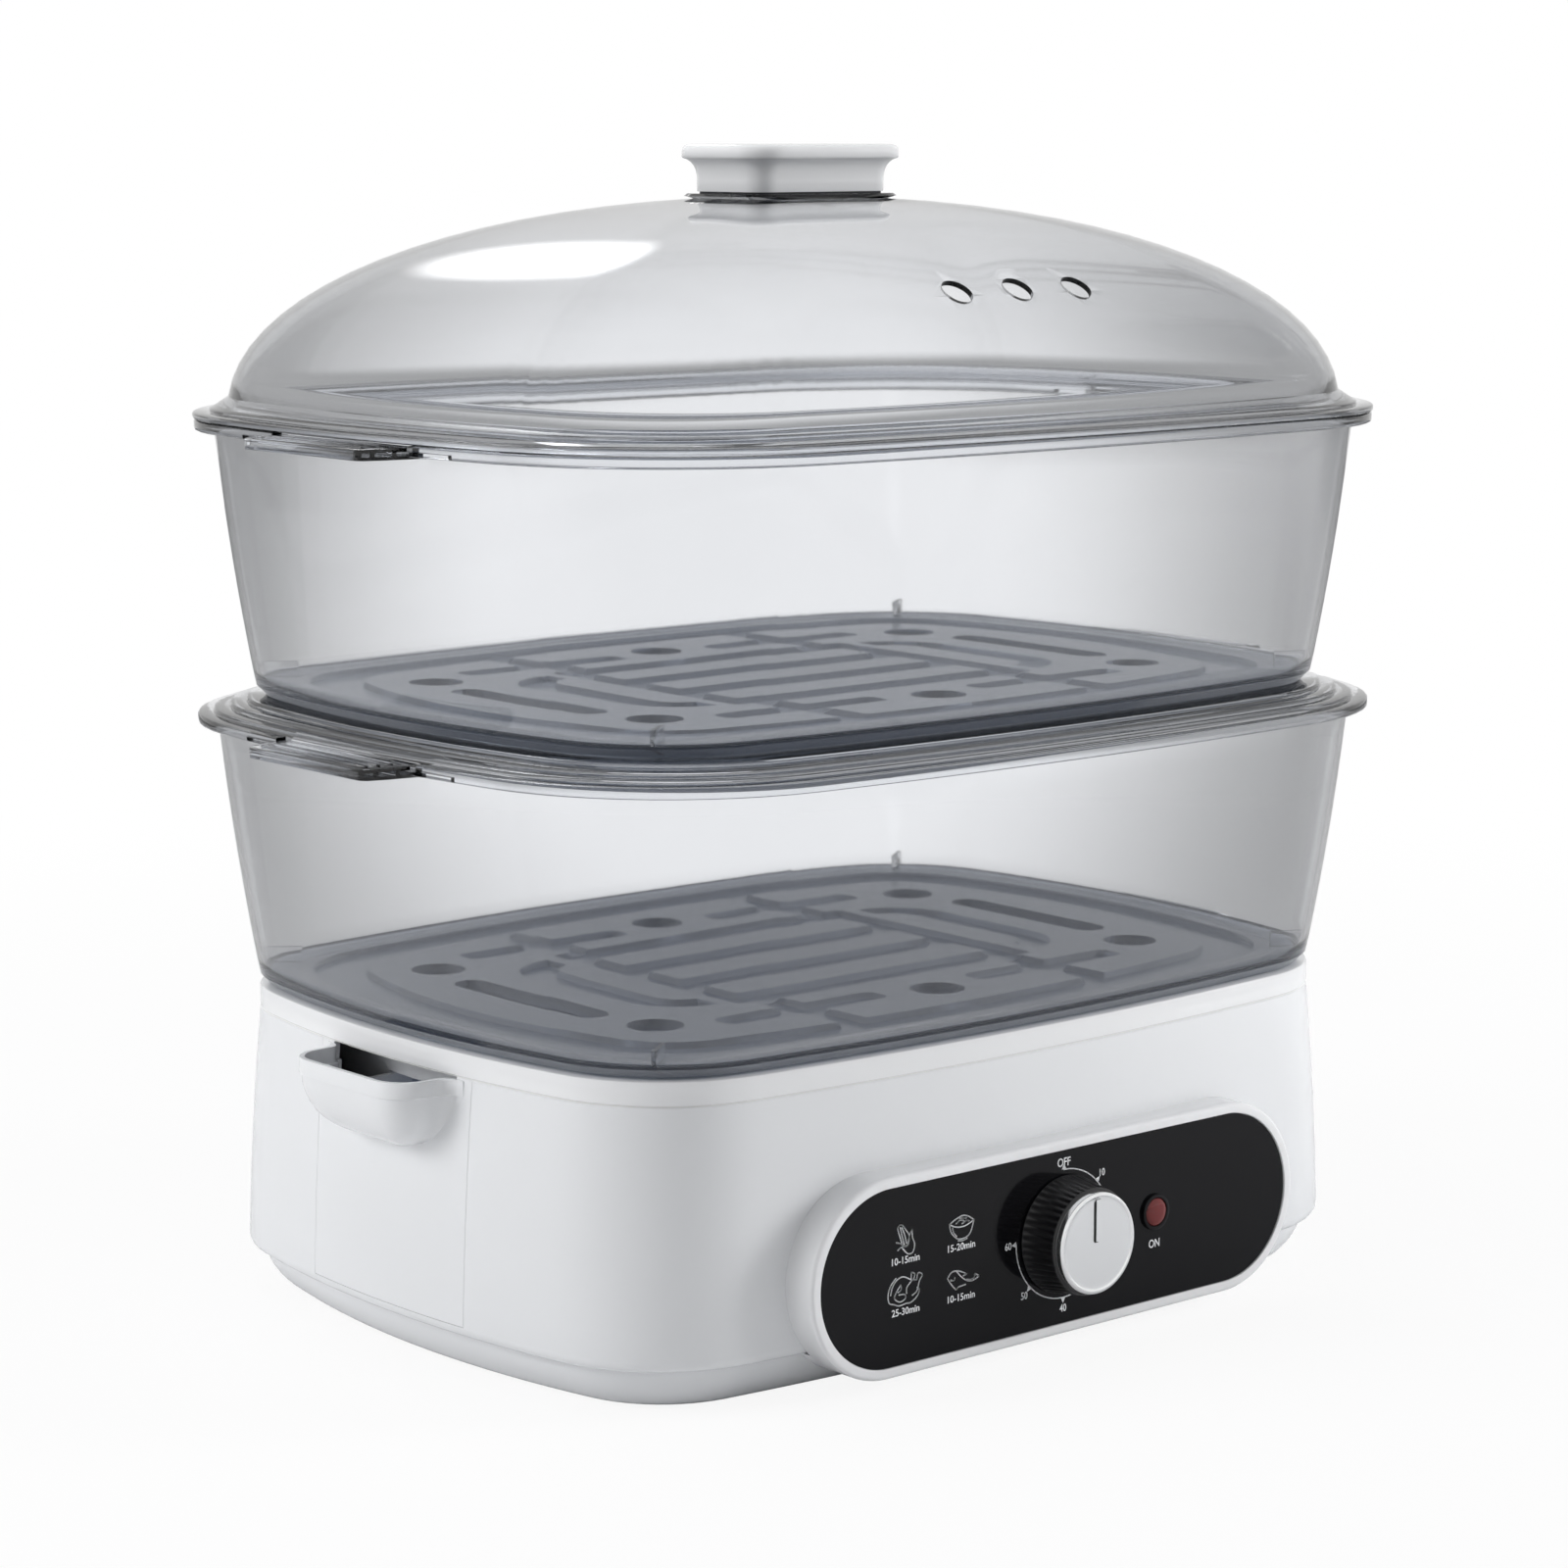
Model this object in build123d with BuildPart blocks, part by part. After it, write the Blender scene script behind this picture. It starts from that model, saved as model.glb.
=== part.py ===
# Two-tier electric food steamer: base with water tank and timer, two stacking baskets, domed lid.
# Millimetres. Origin on the table under the middle of the body, +Z up, front panel towards -Y.
import os
from dataclasses import dataclass, replace
from math import atan2, cos, degrees, radians, sin

from build123d import *

os.makedirs("parts", exist_ok=True)

# ---- plan outlines: half length, half width and corner radius of the bowed rectangles
side_bow = 17.0  # how far the short sides bulge
front_bow = 11.5  # how far the long sides bulge
top_half_x, top_half_y, top_corner = 180.0, 134.3, 53.0  # base at its upper edge
foot_flare_x, foot_flare_y, foot_corner = 4.6, 3.5, 55.0  # the housing's lower edge stands out this far
rim_flare_x, rim_flare_y, rim_corner = 20.0, 22.9, 84.0  # and the outer edge of a basket's rim this far

# ---- base housing and bottom cover
foot_height = 2.0  # rubber showing under the bottom cover
foot_radius, foot_x, foot_y, foot_chamfer = 9.0, 124.0, 84.0, 0.8
foot_stem, foot_barb, barb_lip = 3.0, 1.5, 1.0
slot_row_y, slot_pitch, slot_count, slot_length, slot_width = 30.0, 9.0, 11, 34.0, 3.0
cover_plate = 3.0
skirt_inset, skirt_curl, skirt_corner, skirt_bulge = 5.2, 8.4, 38.0, 1.8
cover_gap = 0.3
flange_inset = 1.0  # the housing's inward flange starts this far inside its face
housing_bottom, housing_top = 15.0, 103.0
housing_wall = 2.5
housing_bulge = 0.7  # the wall stands this far proud of straight at mid height
housing_edge = 4.0  # rounding of the lower edge
boss_x, boss_y, boss_radius, boss_top = 138.0, 98.0, 5.0, 58.0
boss_bore, screw_bite = 12.0, 9.0  # depth of the hole in a boss and of the screw in it
post_radius, post_floor = 6.5, 12.0
screw_radius, screw_head_radius, screw_head = 1.7, 3.4, 2.0
short_bore, short_bite = 4.5, 4.0  # the same for the small bosses
thread_gap = 0.1
web = 2.0

# ---- water tank
tank_top = 111.5
tank_wall = 2.2
tank_rim = 9.0  # width of the flat rim
shelf_drop, shelf_width = 7.5, 7.0  # the shelf that carries the drip tray
tank_floor = 66.0
tank_draft = 12.0  # the tank narrows by this much down to its floor
gasket = 0.3  # gasket between tank and housing, which shows as a thin line

# ---- water inlet scoops
inlet_half_width, inlet_bottom, inlet_gap = 44.0, 19.0, 0.15
scoop_top, scoop_lip = 102.3, 5.9
scoop_proud, scoop_half_width, scoop_corner = 21.5, 33.0, 13.0
scoop_depth, scoop_wall, scoop_step, scoop_flare = 21.0, 2.0, 0.8, 7.0
scoop_tail, bowl_power = 6.0, 0.3
chute_half_width, chute_floor, chute_top, chute_run = 26.0, 77.0, 91.0, 26.0

# ---- drip tray
tray_gap, tray_wall, tray_depth, tray_draft = 0.8, 1.6, 11.5, 5.0
chimney_length, chimney_width, chimney_height = 92.0, 58.0, 9.5
collar_wall, collar_height, collar_gap = 1.6, 2.0, 0.5  # upright rim that centres the basket above it

# ---- baskets
seat_gap = 0.3  # between pieces that stand on each other and lift apart
basket_pitch = 105.0
basket_wall = 2.0
floor_plate, groove_depth = 4.2, 2.2
wall_foot_inset = 0.6  # the basket's foot inside the tank's upper edge
wall_top_inset = 6.6  # the wall's top inside the rim's outer edge
wall_bulge = 0.9
foot_bevel = 3.2
lip_height = 3.7
rim_steps, step_width, step_rise = 3, 5.4, 1.8
rim_skin = 2.0
mouth_lip = 7.0  # the ledge turns down by this much at the mouth
fin_x, fin_y, fin_length, fin_height, fin_wall = 150.0, 108.5, 13.0, 5.8, 1.5
hole_radius, hole_x, hole_y, hole_middle_y = 10.0, 114.0, 62.0, 79.0
side_slot_x, side_slot_length, side_slot_width = 120.0, 80.0, 13.0
gutter_inset, gutter_corner = 7.1, 44.0  # drainage gutter round the floor, inside the mouth's outline
plateau_inset, plateau_corner = 24.0, 30.0
channel_outer_x, channel_outer_y, channel_corner = 99.0, 50.0, 25.0
channel_inner_x, channel_inner_y, channel_arm_x = 86.0, 38.0, 76.0
cross_x, cross_width, cross_y, cross_span = 58.0, 12.0, 73.0, 72.0
cross_middle_y, cross_length = 79.0, 50.0
bar_length, bar_width, bar_pitch, bar_count = 119.0, 17.0, 32.0, 3
ladder_half_x, ladder_half_y = 70.5, 54.5
tab_proud, tab_half_length, tab_root, tab_root_half = 14.4, 35.2, 10.5, 39.5
tab_top, tab_thickness, tab_skin, tab_corner = 98.5, 3.8, 1.2, 4.0
cell_shares, cell_rib, cell_end, cell_height = (0.45, 0.39, 0.16), 1.6, 1.5, 1.4
ridge_pitch, ridge_count, ridge_width, ridge_height = 5.0, 3, 1.4, 0.6

# ---- lid
dome_height, dome_power = 78.0, 2.1
lid_wall = 2.0
lid_overhang = 0.5  # the lid's edge stands past the basket's rim
lid_flange, lid_dome_rise = 2.4, 1.6
pad_drop, pad_depth, pad_margin, pad_corner = 0.5, 5.5, 3.5, 12.0  # flat pad under the knob
vent_radius, vent_pitch, vent_count, vent_cut = 5.8, 28.0, 3, 12.0
vent_y, vent_drop, vent_tilt = 120.0, 29.5, 34.4  # where the vents sit on the slope of the dome
grip_half_x, grip_half_y, grip_corner = 37.5, 25.4, 14.0
neck_inset, knob_height, grip_plate, knob_shell, knob_round = 5.5, 17.0, 5.2, 2.6, 1.8
neck_shares = ((1.0, 0.4), (0.84, 0.74), (0.34, 1.0))  # the neck's inset at shares of its height
washer_thickness, washer_margin = 0.7, 1.0
knob_screw_x, knob_bore, knob_bite, seat_boss = 18.0, 9.0, 8.0, 3.0

# ---- control panel
panel_z = 40.1
panel_half_length, panel_half_height = 115.5, 33.2
fascia_half_length, fascia_half_height, fascia_thickness = 111.2, 29.3, 1.3
panel_proud, panel_depth, fascia_gap = 6.7, 26.5, 0.15  # the fascia in front of the housing's lower edge
bezel_proud, bezel_round, bezel_wall = 0.5, 1.6, 2.4

# ---- timer and its knob
knob_base_radius, knob_tip_radius, knob_length, knob_gap = 20.7, 18.6, 13.8, 0.4
knob_wall, hub_radius, hub_gap, cap_seat, cap_step = 2.2, 6.5, 0.5, 1.5, 1.5
flute_count, flute_depth, flute_offset = 48, 0.55, 0.5
cap_radius, cap_thickness, cap_rim, cap_dish, cap_round = 17.7, 3.0, 1.3, 0.3, 0.9
pointer_length, pointer_width, pointer_height, pointer_start = 14.6, 2.6, 0.6, 0.8
shaft_radius, shaft_clearance, shaft_flat, shaft_tail, shaft_end = 3.0, 0.05, 2.0, 12.0, 1.0
bush_radius, bush_clearance, bush_proud = 5.5, 0.8, 2.0
blade_length, blade_width, blade_sheet = 8.0, 6.3, 0.8
timer_width, timer_depth, timer_setback, timer_corner, blade_z = 42.0, 30.0, 15.5, 4.0, 8.0
bracket_thickness, bracket_half_x, bracket_half_z, bracket_corner = 1.5, 36.0, 16.0, 3.0
bracket_screw_x, bracket_screw_z = 30.0, 9.0
bell_radius, bell_height, bell_post, bell_sheet, bell_gap, bell_chamfer = 13.0, 7.0, 2.5, 1.2, 1.5, 2.0

# ---- lamp, heater, cord entry
lamp_x, lamp_radius, lamp_flange, lens_radius = 44.7, 6.0, 6.5, 5.0
neon_radius, neon_length, neon_gap, pin_width, pin_x = 4.4, 20.0, 0.5, 2.8, 2.0
lens_depth, lens_proud, lens_round = 2.5, 0.6, 1.2
lamp_length, lamp_proud, lamp_round = 18.5, 1.2, 0.4
heater_radius, heater_flange, heater_rise, heater_sheet = 36.0, 46.0, 2.0, 2.0
heater_round = 1.2
element_ring, element_tube, element_drop, element_gap = 27.0, 3.3, 10.0, 70.0  # the gap in degrees
seal_thickness, clamp_sheet, clamp_ring, clamp_margin, clamp_gap = 1.0, 1.6, 57.0, 3.0, 0.2
clamp_screw_ring, clamp_boss = 51.5, 4.0
sleeve_radius, sleeve_wall, sleeve_height = 60.0, 1.8, 19.0
sleeve_gap_width, sleeve_gap_height = 16.0, 5.0
thermostat_radius, thermostat_height, thermostat_pin = 9.0, 8.0, 4.0
thermostat_flange, thermostat_sheet = 2.0, 1.0
fuse_radius, fuse_length, fuse_y, fuse_wire, fuse_tail = 2.2, 12.0, 15.5, 0.6, 6.0
gland_x, gland_z, gland_radius, gland_neck, gland_bore = 95.0, 32.0, 9.0, 6.0, 3.5
gland_length, gland_setback, gland_lip = 11.2, 0.6, 1.0
block_x, block_y, block_z, block_pitch, block_bore = 34.0, 15.0, 12.0, 10.0, 6.0
block_at_x, block_at_y, wire_bite = 75.0, 72.0, 4.0
wire_radius, wire_bend = 1.2, 5.0
through = 5.0  # how far a cut or a blank runs past the solid it works on


@dataclass(frozen=True)
class Plan:
    # one bowed, round-cornered outline
    half_x: float
    half_y: float
    corner: float
    side: float = side_bow
    front: float = front_bow

    def inset(self, d):
        return replace(self, half_x=self.half_x - d, half_y=self.half_y - d, corner=self.corner - d)

    def scaled(self, k):
        return Plan(self.half_x * k, self.half_y * k, self.corner * k, self.side * k, self.front * k)

    def towards(self, other, share, bulge=0.0):
        def mix(name):
            return getattr(self, name) * (1 - share) + getattr(other, name) * share + bulge

        return replace(self, half_x=mix("half_x"), half_y=mix("half_y"), corner=mix("corner"))

    # four shallow arcs that meet at the corners, which are then rounded
    def at(self, z):
        x, y = self.half_x - self.side, self.half_y - self.front
        with BuildSketch(Plane.XY.offset(z)) as outline:
            with BuildLine():
                ThreePointArc((-x, -y), (0, -self.half_y), (x, -y))
                ThreePointArc((x, -y), (self.half_x, 0), (x, y))
                ThreePointArc((x, y), (0, self.half_y), (-x, y))
                ThreePointArc((-x, y), (-self.half_x, 0), (-x, -y))
            make_face()
            fillet(outline.vertices(), self.corner)
        return outline.sketch


def slab(outline, low, high, mode=Mode.ADD):
    extrude(outline.at(low), amount=high - low, mode=mode)


def front_plane(distance):
    # faces the user, `distance` in front of the middle; its own y is height above the table
    return Plane.XZ.offset(distance)


def screw(x, y, seat, length):
    # pan head below the seat, shank above it
    with Locations((x, y, seat)):
        Cylinder(screw_head_radius, screw_head, align=(Align.CENTER, Align.CENTER, Align.MAX))
        Cylinder(screw_radius - thread_gap, length, align=(Align.CENTER, Align.CENTER, Align.MIN))


def lead(*points):
    with BuildLine() as path:
        FilletPolyline(*points, radius=wire_bend)
    with BuildSketch(Plane(origin=path.line @ 0, z_dir=path.line % 0)) as wire:
        Circle(wire_radius)
    sweep(wire.sketch, path=path.line)


foot_half_x = top_half_x + foot_flare_x
foot_half_y = top_half_y + foot_flare_y
rim_half_x = top_half_x + rim_flare_x
rim_half_y = top_half_y + rim_flare_y
panel_face = foot_half_y + panel_proud
panel_root = panel_face - panel_depth
timer_front = panel_face - timer_setback
lamp_root = panel_face - lamp_length
gland_face = foot_half_y - gland_setback
gland_inner = gland_face - gland_length
corners = [(sx, sy) for sx in (-1, 1) for sy in (-1, 1)]
top_plan = Plan(top_half_x, top_half_y, top_corner)
foot_plan = Plan(foot_half_x, foot_half_y, foot_corner)
rim_plan = Plan(rim_half_x, rim_half_y, rim_corner)
mouth_plan = top_plan.inset(tank_rim)  # the opening of the tank and of each basket's ledge
cover_plan = foot_plan.inset(skirt_inset)
flange_plan = foot_plan.inset(flange_inset)
seam = housing_top + gasket


# ---- base housing: a tapered bowed wall, open above for the tank and below for the cover
def housing_sections(depth):
    height = housing_top - housing_bottom
    sections = []
    for share, bulge in ((0.0, 0.0), (0.5, housing_bulge), (1.0, 0.0)):
        level = foot_plan.towards(top_plan, share, bulge).inset(depth)
        sections.append(level.at(housing_bottom + height * share))
    return sections


with BuildPart() as housing_outer:
    loft(housing_sections(0))
    fillet(housing_outer.faces().sort_by(Axis.Z)[0].edges(), housing_edge)

with BuildPart() as housing_inner:
    loft(housing_sections(housing_wall))

bracket_front = timer_front + bracket_thickness
bracket_screws = [(s * bracket_screw_x, panel_z - s * bracket_screw_z) for s in (-1, 1)]
boss_floor = housing_bottom + cover_plate

with BuildPart() as base_housing:
    add(housing_outer.part)
    add(housing_inner.part, mode=Mode.SUBTRACT)
    # inward flange that frames the bottom cover
    slab(flange_plan, housing_bottom, housing_bottom + housing_wall)
    # screw bosses in the corners, each tied to the wall by a web
    for sx, sy in corners:
        turn = degrees(atan2(sy * boss_y, sx * boss_x))
        with BuildSketch(Plane.XY.offset(boss_floor)):
            with Locations((sx * boss_x, sy * boss_y)):
                Circle(boss_radius)
                Rectangle(foot_half_x - boss_x, web, rotation=turn, align=(Align.MIN, Align.CENTER))
        extrude(amount=boss_top - boss_floor)
    # pads behind the front wall that carry the timer's bracket
    with BuildSketch(front_plane(bracket_front)):
        with Locations(*bracket_screws):
            Circle(boss_radius)
    extrude(amount=foot_half_y - bracket_front)
    add(housing_outer.part, mode=Mode.INTERSECT)
    slab(cover_plan.inset(-cover_gap), housing_bottom - 1, boss_floor, mode=Mode.SUBTRACT)
    with BuildSketch(Plane.XY.offset(boss_floor)):
        with Locations(*[(sx * boss_x, sy * boss_y) for sx, sy in corners]):
            Circle(screw_radius)
    extrude(amount=boss_bore, mode=Mode.SUBTRACT)
    with BuildSketch(front_plane(bracket_front)):
        with Locations(*bracket_screws):
            Circle(screw_radius)
    extrude(amount=short_bore, mode=Mode.SUBTRACT)
    # timer bush and lamp pass through the front wall, the cord gland through the rear one
    with BuildSketch(front_plane(0)):
        with Locations((0, panel_z)):
            Circle(bush_radius + bush_clearance)
        with Locations((lamp_x, panel_z)):
            Circle(lamp_radius)
    extrude(amount=foot_half_y + through, mode=Mode.SUBTRACT)
    with BuildSketch(Plane.XZ):
        with Locations((gland_x, gland_z)):
            Circle(gland_neck)
    extrude(amount=-foot_half_y - through, mode=Mode.SUBTRACT)
    # cut-outs for the two side panels
    with BuildSketch(Plane.YZ):
        with Locations((0, inlet_bottom)):
            Rectangle(2 * inlet_half_width, housing_top, align=(Align.CENTER, Align.MIN))
    extrude(amount=foot_half_x + through, both=True, mode=Mode.SUBTRACT)
base_housing.part.label = "base_housing"
export_step(base_housing.part, "parts/base_housing.step")


# ---- side panels with the water inlet scoops
chute_end = top_half_x - chute_run
scoop_root = top_half_x - scoop_tail
lip_bottom = scoop_top - scoop_lip


def scoop_outline(z, share, depth):
    # `share` runs from 0 at the lip to 1 at the lowest point; `depth` is the wall taken off
    shrink = (1 - share**2) ** 0.5
    reach = (scoop_proud - depth) * shrink
    half = (scoop_half_width - depth) * (1 - share**2) ** bowl_power
    flare = (scoop_flare - depth) * shrink
    profile = [
        (scoop_root, half + flare),
        (top_half_x, half + flare),
        (top_half_x + flare, half),
        (top_half_x + reach, half),
    ]
    with BuildSketch(Plane.XY.offset(z)) as outline:
        with BuildLine():
            Polyline(*profile, *[(x, -y) for x, y in reversed(profile)], close=True)
        make_face()
        along = outline.vertices().sort_by(Axis.X)
        fillet(along[-2:], (scoop_corner - depth) * shrink)
        fillet(along[-4:-2], flare * 0.9)
    return outline.sketch


def scoop_bowl(depth):
    sections = []
    for share in (0.0, 0.35, 0.65, 0.86, 0.97):
        z = lip_bottom - share * (scoop_depth - depth)
        sections.append(scoop_outline(z, share, scoop_step + depth))
    return sections


with BuildPart() as side_plate:
    add(housing_outer.part)
    add(housing_inner.part, mode=Mode.SUBTRACT)
    slab(flange_plan, housing_bottom, housing_bottom + housing_wall)
    with BuildSketch(Plane.YZ):
        with Locations((0, inlet_bottom + inlet_gap)):
            Rectangle(2 * (inlet_half_width - inlet_gap), housing_top, align=(Align.CENTER, Align.MIN))
    extrude(amount=foot_half_x + through, mode=Mode.INTERSECT)

with BuildPart() as right_inlet_panel:
    loft(scoop_bowl(0))
    extrude(scoop_outline(lip_bottom, 0, 0), amount=scoop_lip)
    add(housing_inner.part, mode=Mode.SUBTRACT)
    add(side_plate.part)
    # open-topped chute that leads the water into the tank
    with BuildSketch(Plane.YZ.offset(chute_end)):
        with Locations((0, chute_floor)):
            Rectangle(2 * chute_half_width, chute_top - chute_floor, align=(Align.CENTER, Align.MIN))
    extrude(amount=chute_run)
    with BuildSketch(Plane.YZ.offset(chute_end)):
        with Locations((0, chute_floor + scoop_wall)):
            Rectangle(2 * (chute_half_width - scoop_wall), chute_top, align=(Align.CENTER, Align.MIN))
    extrude(amount=chute_run - scoop_wall, mode=Mode.SUBTRACT)
    loft(scoop_bowl(scoop_wall), mode=Mode.SUBTRACT)
    extrude(scoop_outline(lip_bottom, 0, scoop_wall), amount=scoop_lip + through, mode=Mode.SUBTRACT)
right_inlet_panel.part.label = "right_inlet_panel"
export_step(right_inlet_panel.part, "parts/right_inlet_panel.step")

with BuildPart() as left_inlet_panel:
    add(right_inlet_panel.part)
    mirror(about=Plane.YZ, mode=Mode.REPLACE)
left_inlet_panel.part.label = "left_inlet_panel"
export_step(left_inlet_panel.part, "parts/left_inlet_panel.step")


# ---- bottom cover: shallow dish with a curled skirt, screw posts and cooling slots
def skirt_sections(depth):
    low = replace(cover_plan.inset(skirt_curl), corner=skirt_corner)
    height = housing_bottom - foot_height
    sections = []
    for share, bulge in ((0.0, 0.0), (0.5, skirt_bulge), (1.0, 0.0)):
        sections.append(low.towards(cover_plan, share, bulge).inset(depth).at(foot_height + height * share))
    return sections


cover_top = foot_height + cover_plate
cover_rim = boss_floor - cover_gap

with BuildPart() as cover_outer:
    # the cover with the gap around it, to shape its neighbours
    loft(skirt_sections(-cover_gap))
    slab(cover_plan.inset(-cover_gap), housing_bottom, cover_rim)

with BuildPart() as bottom_cover:
    loft(skirt_sections(0))
    slab(cover_plan, housing_bottom, cover_rim)
    with BuildPart(mode=Mode.PRIVATE) as hollow:
        loft(skirt_sections(housing_wall))
        slab(cover_plan.inset(housing_wall), housing_bottom, cover_rim + through)
        slab(foot_plan, foot_height - through, cover_top, mode=Mode.SUBTRACT)
    add(hollow.part, mode=Mode.SUBTRACT)
    with BuildSketch(Plane.XY.offset(foot_height)):
        with Locations(*[(sx * boss_x, sy * boss_y) for sx, sy in corners]):
            Circle(post_radius)
    extrude(amount=cover_rim - foot_height)
    with BuildSketch(Plane.XY.offset(foot_height)):
        with Locations(*[(sx * boss_x, sy * boss_y) for sx, sy in corners]):
            Circle(post_radius - web)
    extrude(amount=post_floor - foot_height, mode=Mode.SUBTRACT)
    with BuildSketch(Plane.XY.offset(foot_height)):
        with Locations(*[(sx * boss_x, sy * boss_y) for sx, sy in corners]):
            Circle(screw_radius)
        with Locations(*[(sx * foot_x, sy * foot_y) for sx, sy in corners]):
            Circle(foot_stem + thread_gap)
        for row in (-1, 1):
            with Locations((0, row * slot_row_y)):
                with GridLocations(slot_pitch, 0, slot_count, 1):
                    SlotOverall(slot_length, slot_width, rotation=90)
    extrude(amount=cover_rim, mode=Mode.SUBTRACT)
bottom_cover.part.label = "bottom_cover"
export_step(bottom_cover.part, "parts/bottom_cover.step")

with BuildPart() as rubber_feet:
    with Locations(*[(sx * foot_x, sy * foot_y, 0) for sx, sy in corners]):
        Cylinder(foot_radius, foot_height, align=(Align.CENTER, Align.CENTER, Align.MIN))
        Cylinder(foot_stem, cover_top + foot_barb, align=(Align.CENTER, Align.CENTER, Align.MIN))
    with Locations(*[(sx * foot_x, sy * foot_y, cover_top) for sx, sy in corners]):
        Cylinder(foot_stem + barb_lip, foot_barb, align=(Align.CENTER, Align.CENTER, Align.MIN))
    chamfer(rubber_feet.faces().filter_by(Axis.Z).group_by(Axis.Z)[0].edges(), foot_chamfer)
rubber_feet.part.label = "rubber_feet"
export_step(rubber_feet.part, "parts/rubber_feet.step")

with BuildPart() as bottom_screws:
    for sx, sy in corners:
        screw(sx * boss_x, sy * boss_y, post_floor, boss_floor + screw_bite - post_floor)
bottom_screws.part.label = "bottom_screws"
export_step(bottom_screws.part, "parts/bottom_screws.step")


# ---- water tank: its flat rim is the base's top band, inside it a shelf, a tapered wall and the floor
shelf = tank_top - shelf_drop
shelf_plan = mouth_plan.inset(shelf_width)


def tank_sections(depth, low, high):
    return [shelf_plan.inset(tank_draft + depth).at(low), shelf_plan.inset(depth).at(high)]


clamp_turns = [radians(turn) for turn in (90, 210, 330)]
clamp_spots = [(clamp_screw_ring * cos(turn), clamp_screw_ring * sin(turn)) for turn in clamp_turns]
seal_top = tank_floor - tank_wall

with BuildPart() as water_tank:
    slab(top_plan, seam, tank_top)
    slab(top_plan.inset(tank_wall), seam, tank_top - tank_wall, mode=Mode.SUBTRACT)
    slab(mouth_plan.inset(-tank_wall), shelf - tank_wall, tank_top)
    loft(tank_sections(-tank_wall, seal_top, shelf - tank_wall))
    loft(tank_sections(0, tank_floor, shelf), mode=Mode.SUBTRACT)
    slab(mouth_plan, shelf, tank_top, mode=Mode.SUBTRACT)
    # bosses for the heater's clamp ring
    with BuildSketch(Plane.XY.offset(seal_top)):
        with Locations(*clamp_spots):
            Circle(clamp_boss)
    extrude(amount=-(seal_thickness + heater_sheet - clamp_gap))
    with BuildSketch(Plane.XY.offset(seal_top - seal_thickness - heater_sheet)):
        with Locations(*clamp_spots):
            Circle(screw_radius)
    extrude(amount=short_bore, mode=Mode.SUBTRACT)
    with BuildSketch(Plane.XY.offset(seal_top)):
        Circle(heater_radius + web / 2)
    extrude(amount=tank_wall, mode=Mode.SUBTRACT)
    # windows for the two inlet chutes
    window_width = 2 * (chute_half_width + tray_gap)
    window_height = chute_top - chute_floor + 2 * tray_gap
    with BuildSketch(Plane.YZ):
        with Locations((0, chute_floor - tray_gap)):
            Rectangle(window_width, window_height, align=(Align.CENTER, Align.MIN))
    extrude(amount=top_half_x - 2 * tank_wall, both=True, mode=Mode.SUBTRACT)
water_tank.part.label = "water_tank"
export_step(water_tank.part, "parts/water_tank.step")

with BuildPart() as tank_gasket:
    slab(top_plan.inset(gasket), housing_top, seam)
    slab(top_plan.inset(tank_wall), housing_top, seam, mode=Mode.SUBTRACT)
tank_gasket.part.label = "tank_gasket"
export_step(tank_gasket.part, "parts/tank_gasket.step")


# ---- drip tray with the steam chimney; its collar stands up into the groove below the lower basket
tray_seat = shelf + seat_gap
tray_plan = shelf_plan.inset(tray_gap)
tray_floor = tray_seat - tray_depth
basket_foot = tank_top + seat_gap
collar_plan = mouth_plan.inset(tray_gap)
collar_inner_plan = collar_plan.inset(collar_wall)

with BuildPart() as drip_tray:
    slab(collar_plan, tray_seat, basket_foot + collar_height)
    slab(collar_inner_plan, tray_seat + tray_wall, basket_foot + collar_height, mode=Mode.SUBTRACT)
    loft([tray_plan.inset(tray_draft).at(tray_floor), tray_plan.at(tray_seat)])
    loft(
        [
            tray_plan.inset(tray_draft + tray_wall).at(tray_floor + tray_wall),
            tray_plan.inset(tray_wall).at(tray_seat + tray_wall),
        ],
        mode=Mode.SUBTRACT,
    )
    with BuildSketch(Plane.XY.offset(tray_floor)):
        RectangleRounded(chimney_length, chimney_width, chimney_width / 3)
    extrude(amount=tray_wall + chimney_height)
    with BuildSketch(Plane.XY.offset(tray_floor)):
        RectangleRounded(chimney_length, chimney_width, chimney_width / 3)
        offset(amount=-tray_wall, mode=Mode.REPLACE)
    extrude(amount=tray_wall + chimney_height, mode=Mode.SUBTRACT)
drip_tray.part.label = "drip_tray"
export_step(drip_tray.part, "parts/drip_tray.step")


# ---- baskets
rim_height = basket_pitch - seat_gap - rim_steps * step_rise  # outer edge of the rim above the foot
lip_low = rim_height - lip_height
wall_top_plan = rim_plan.inset(wall_top_inset)
wall_foot_plan = top_plan.inset(wall_foot_inset)


def basket_sections(depth):
    sections = []
    for share, bulge in ((0.0, 0.0), (0.5, wall_bulge), (1.0, 0.0)):
        level = wall_foot_plan.towards(wall_top_plan, share, bulge).inset(depth)
        sections.append(level.at(basket_foot + (lip_low + 1) * share))
    return sections


gutter_plan = replace(mouth_plan.inset(gutter_inset), corner=gutter_corner)
plateau_plan = replace(mouth_plan.inset(plateau_inset), corner=plateau_corner)
steam_holes = [(sx * hole_x, sy * hole_y) for sx, sy in corners] + [(0, hole_middle_y), (0, -hole_middle_y)]
tab_reach = rim_half_x + tab_proud
tab_inner_x = rim_half_x - tab_root
cells_start = rim_half_x - step_width
cells_length = tab_reach - cell_end - cells_start - (len(cell_shares) - 1) * cell_rib

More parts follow.
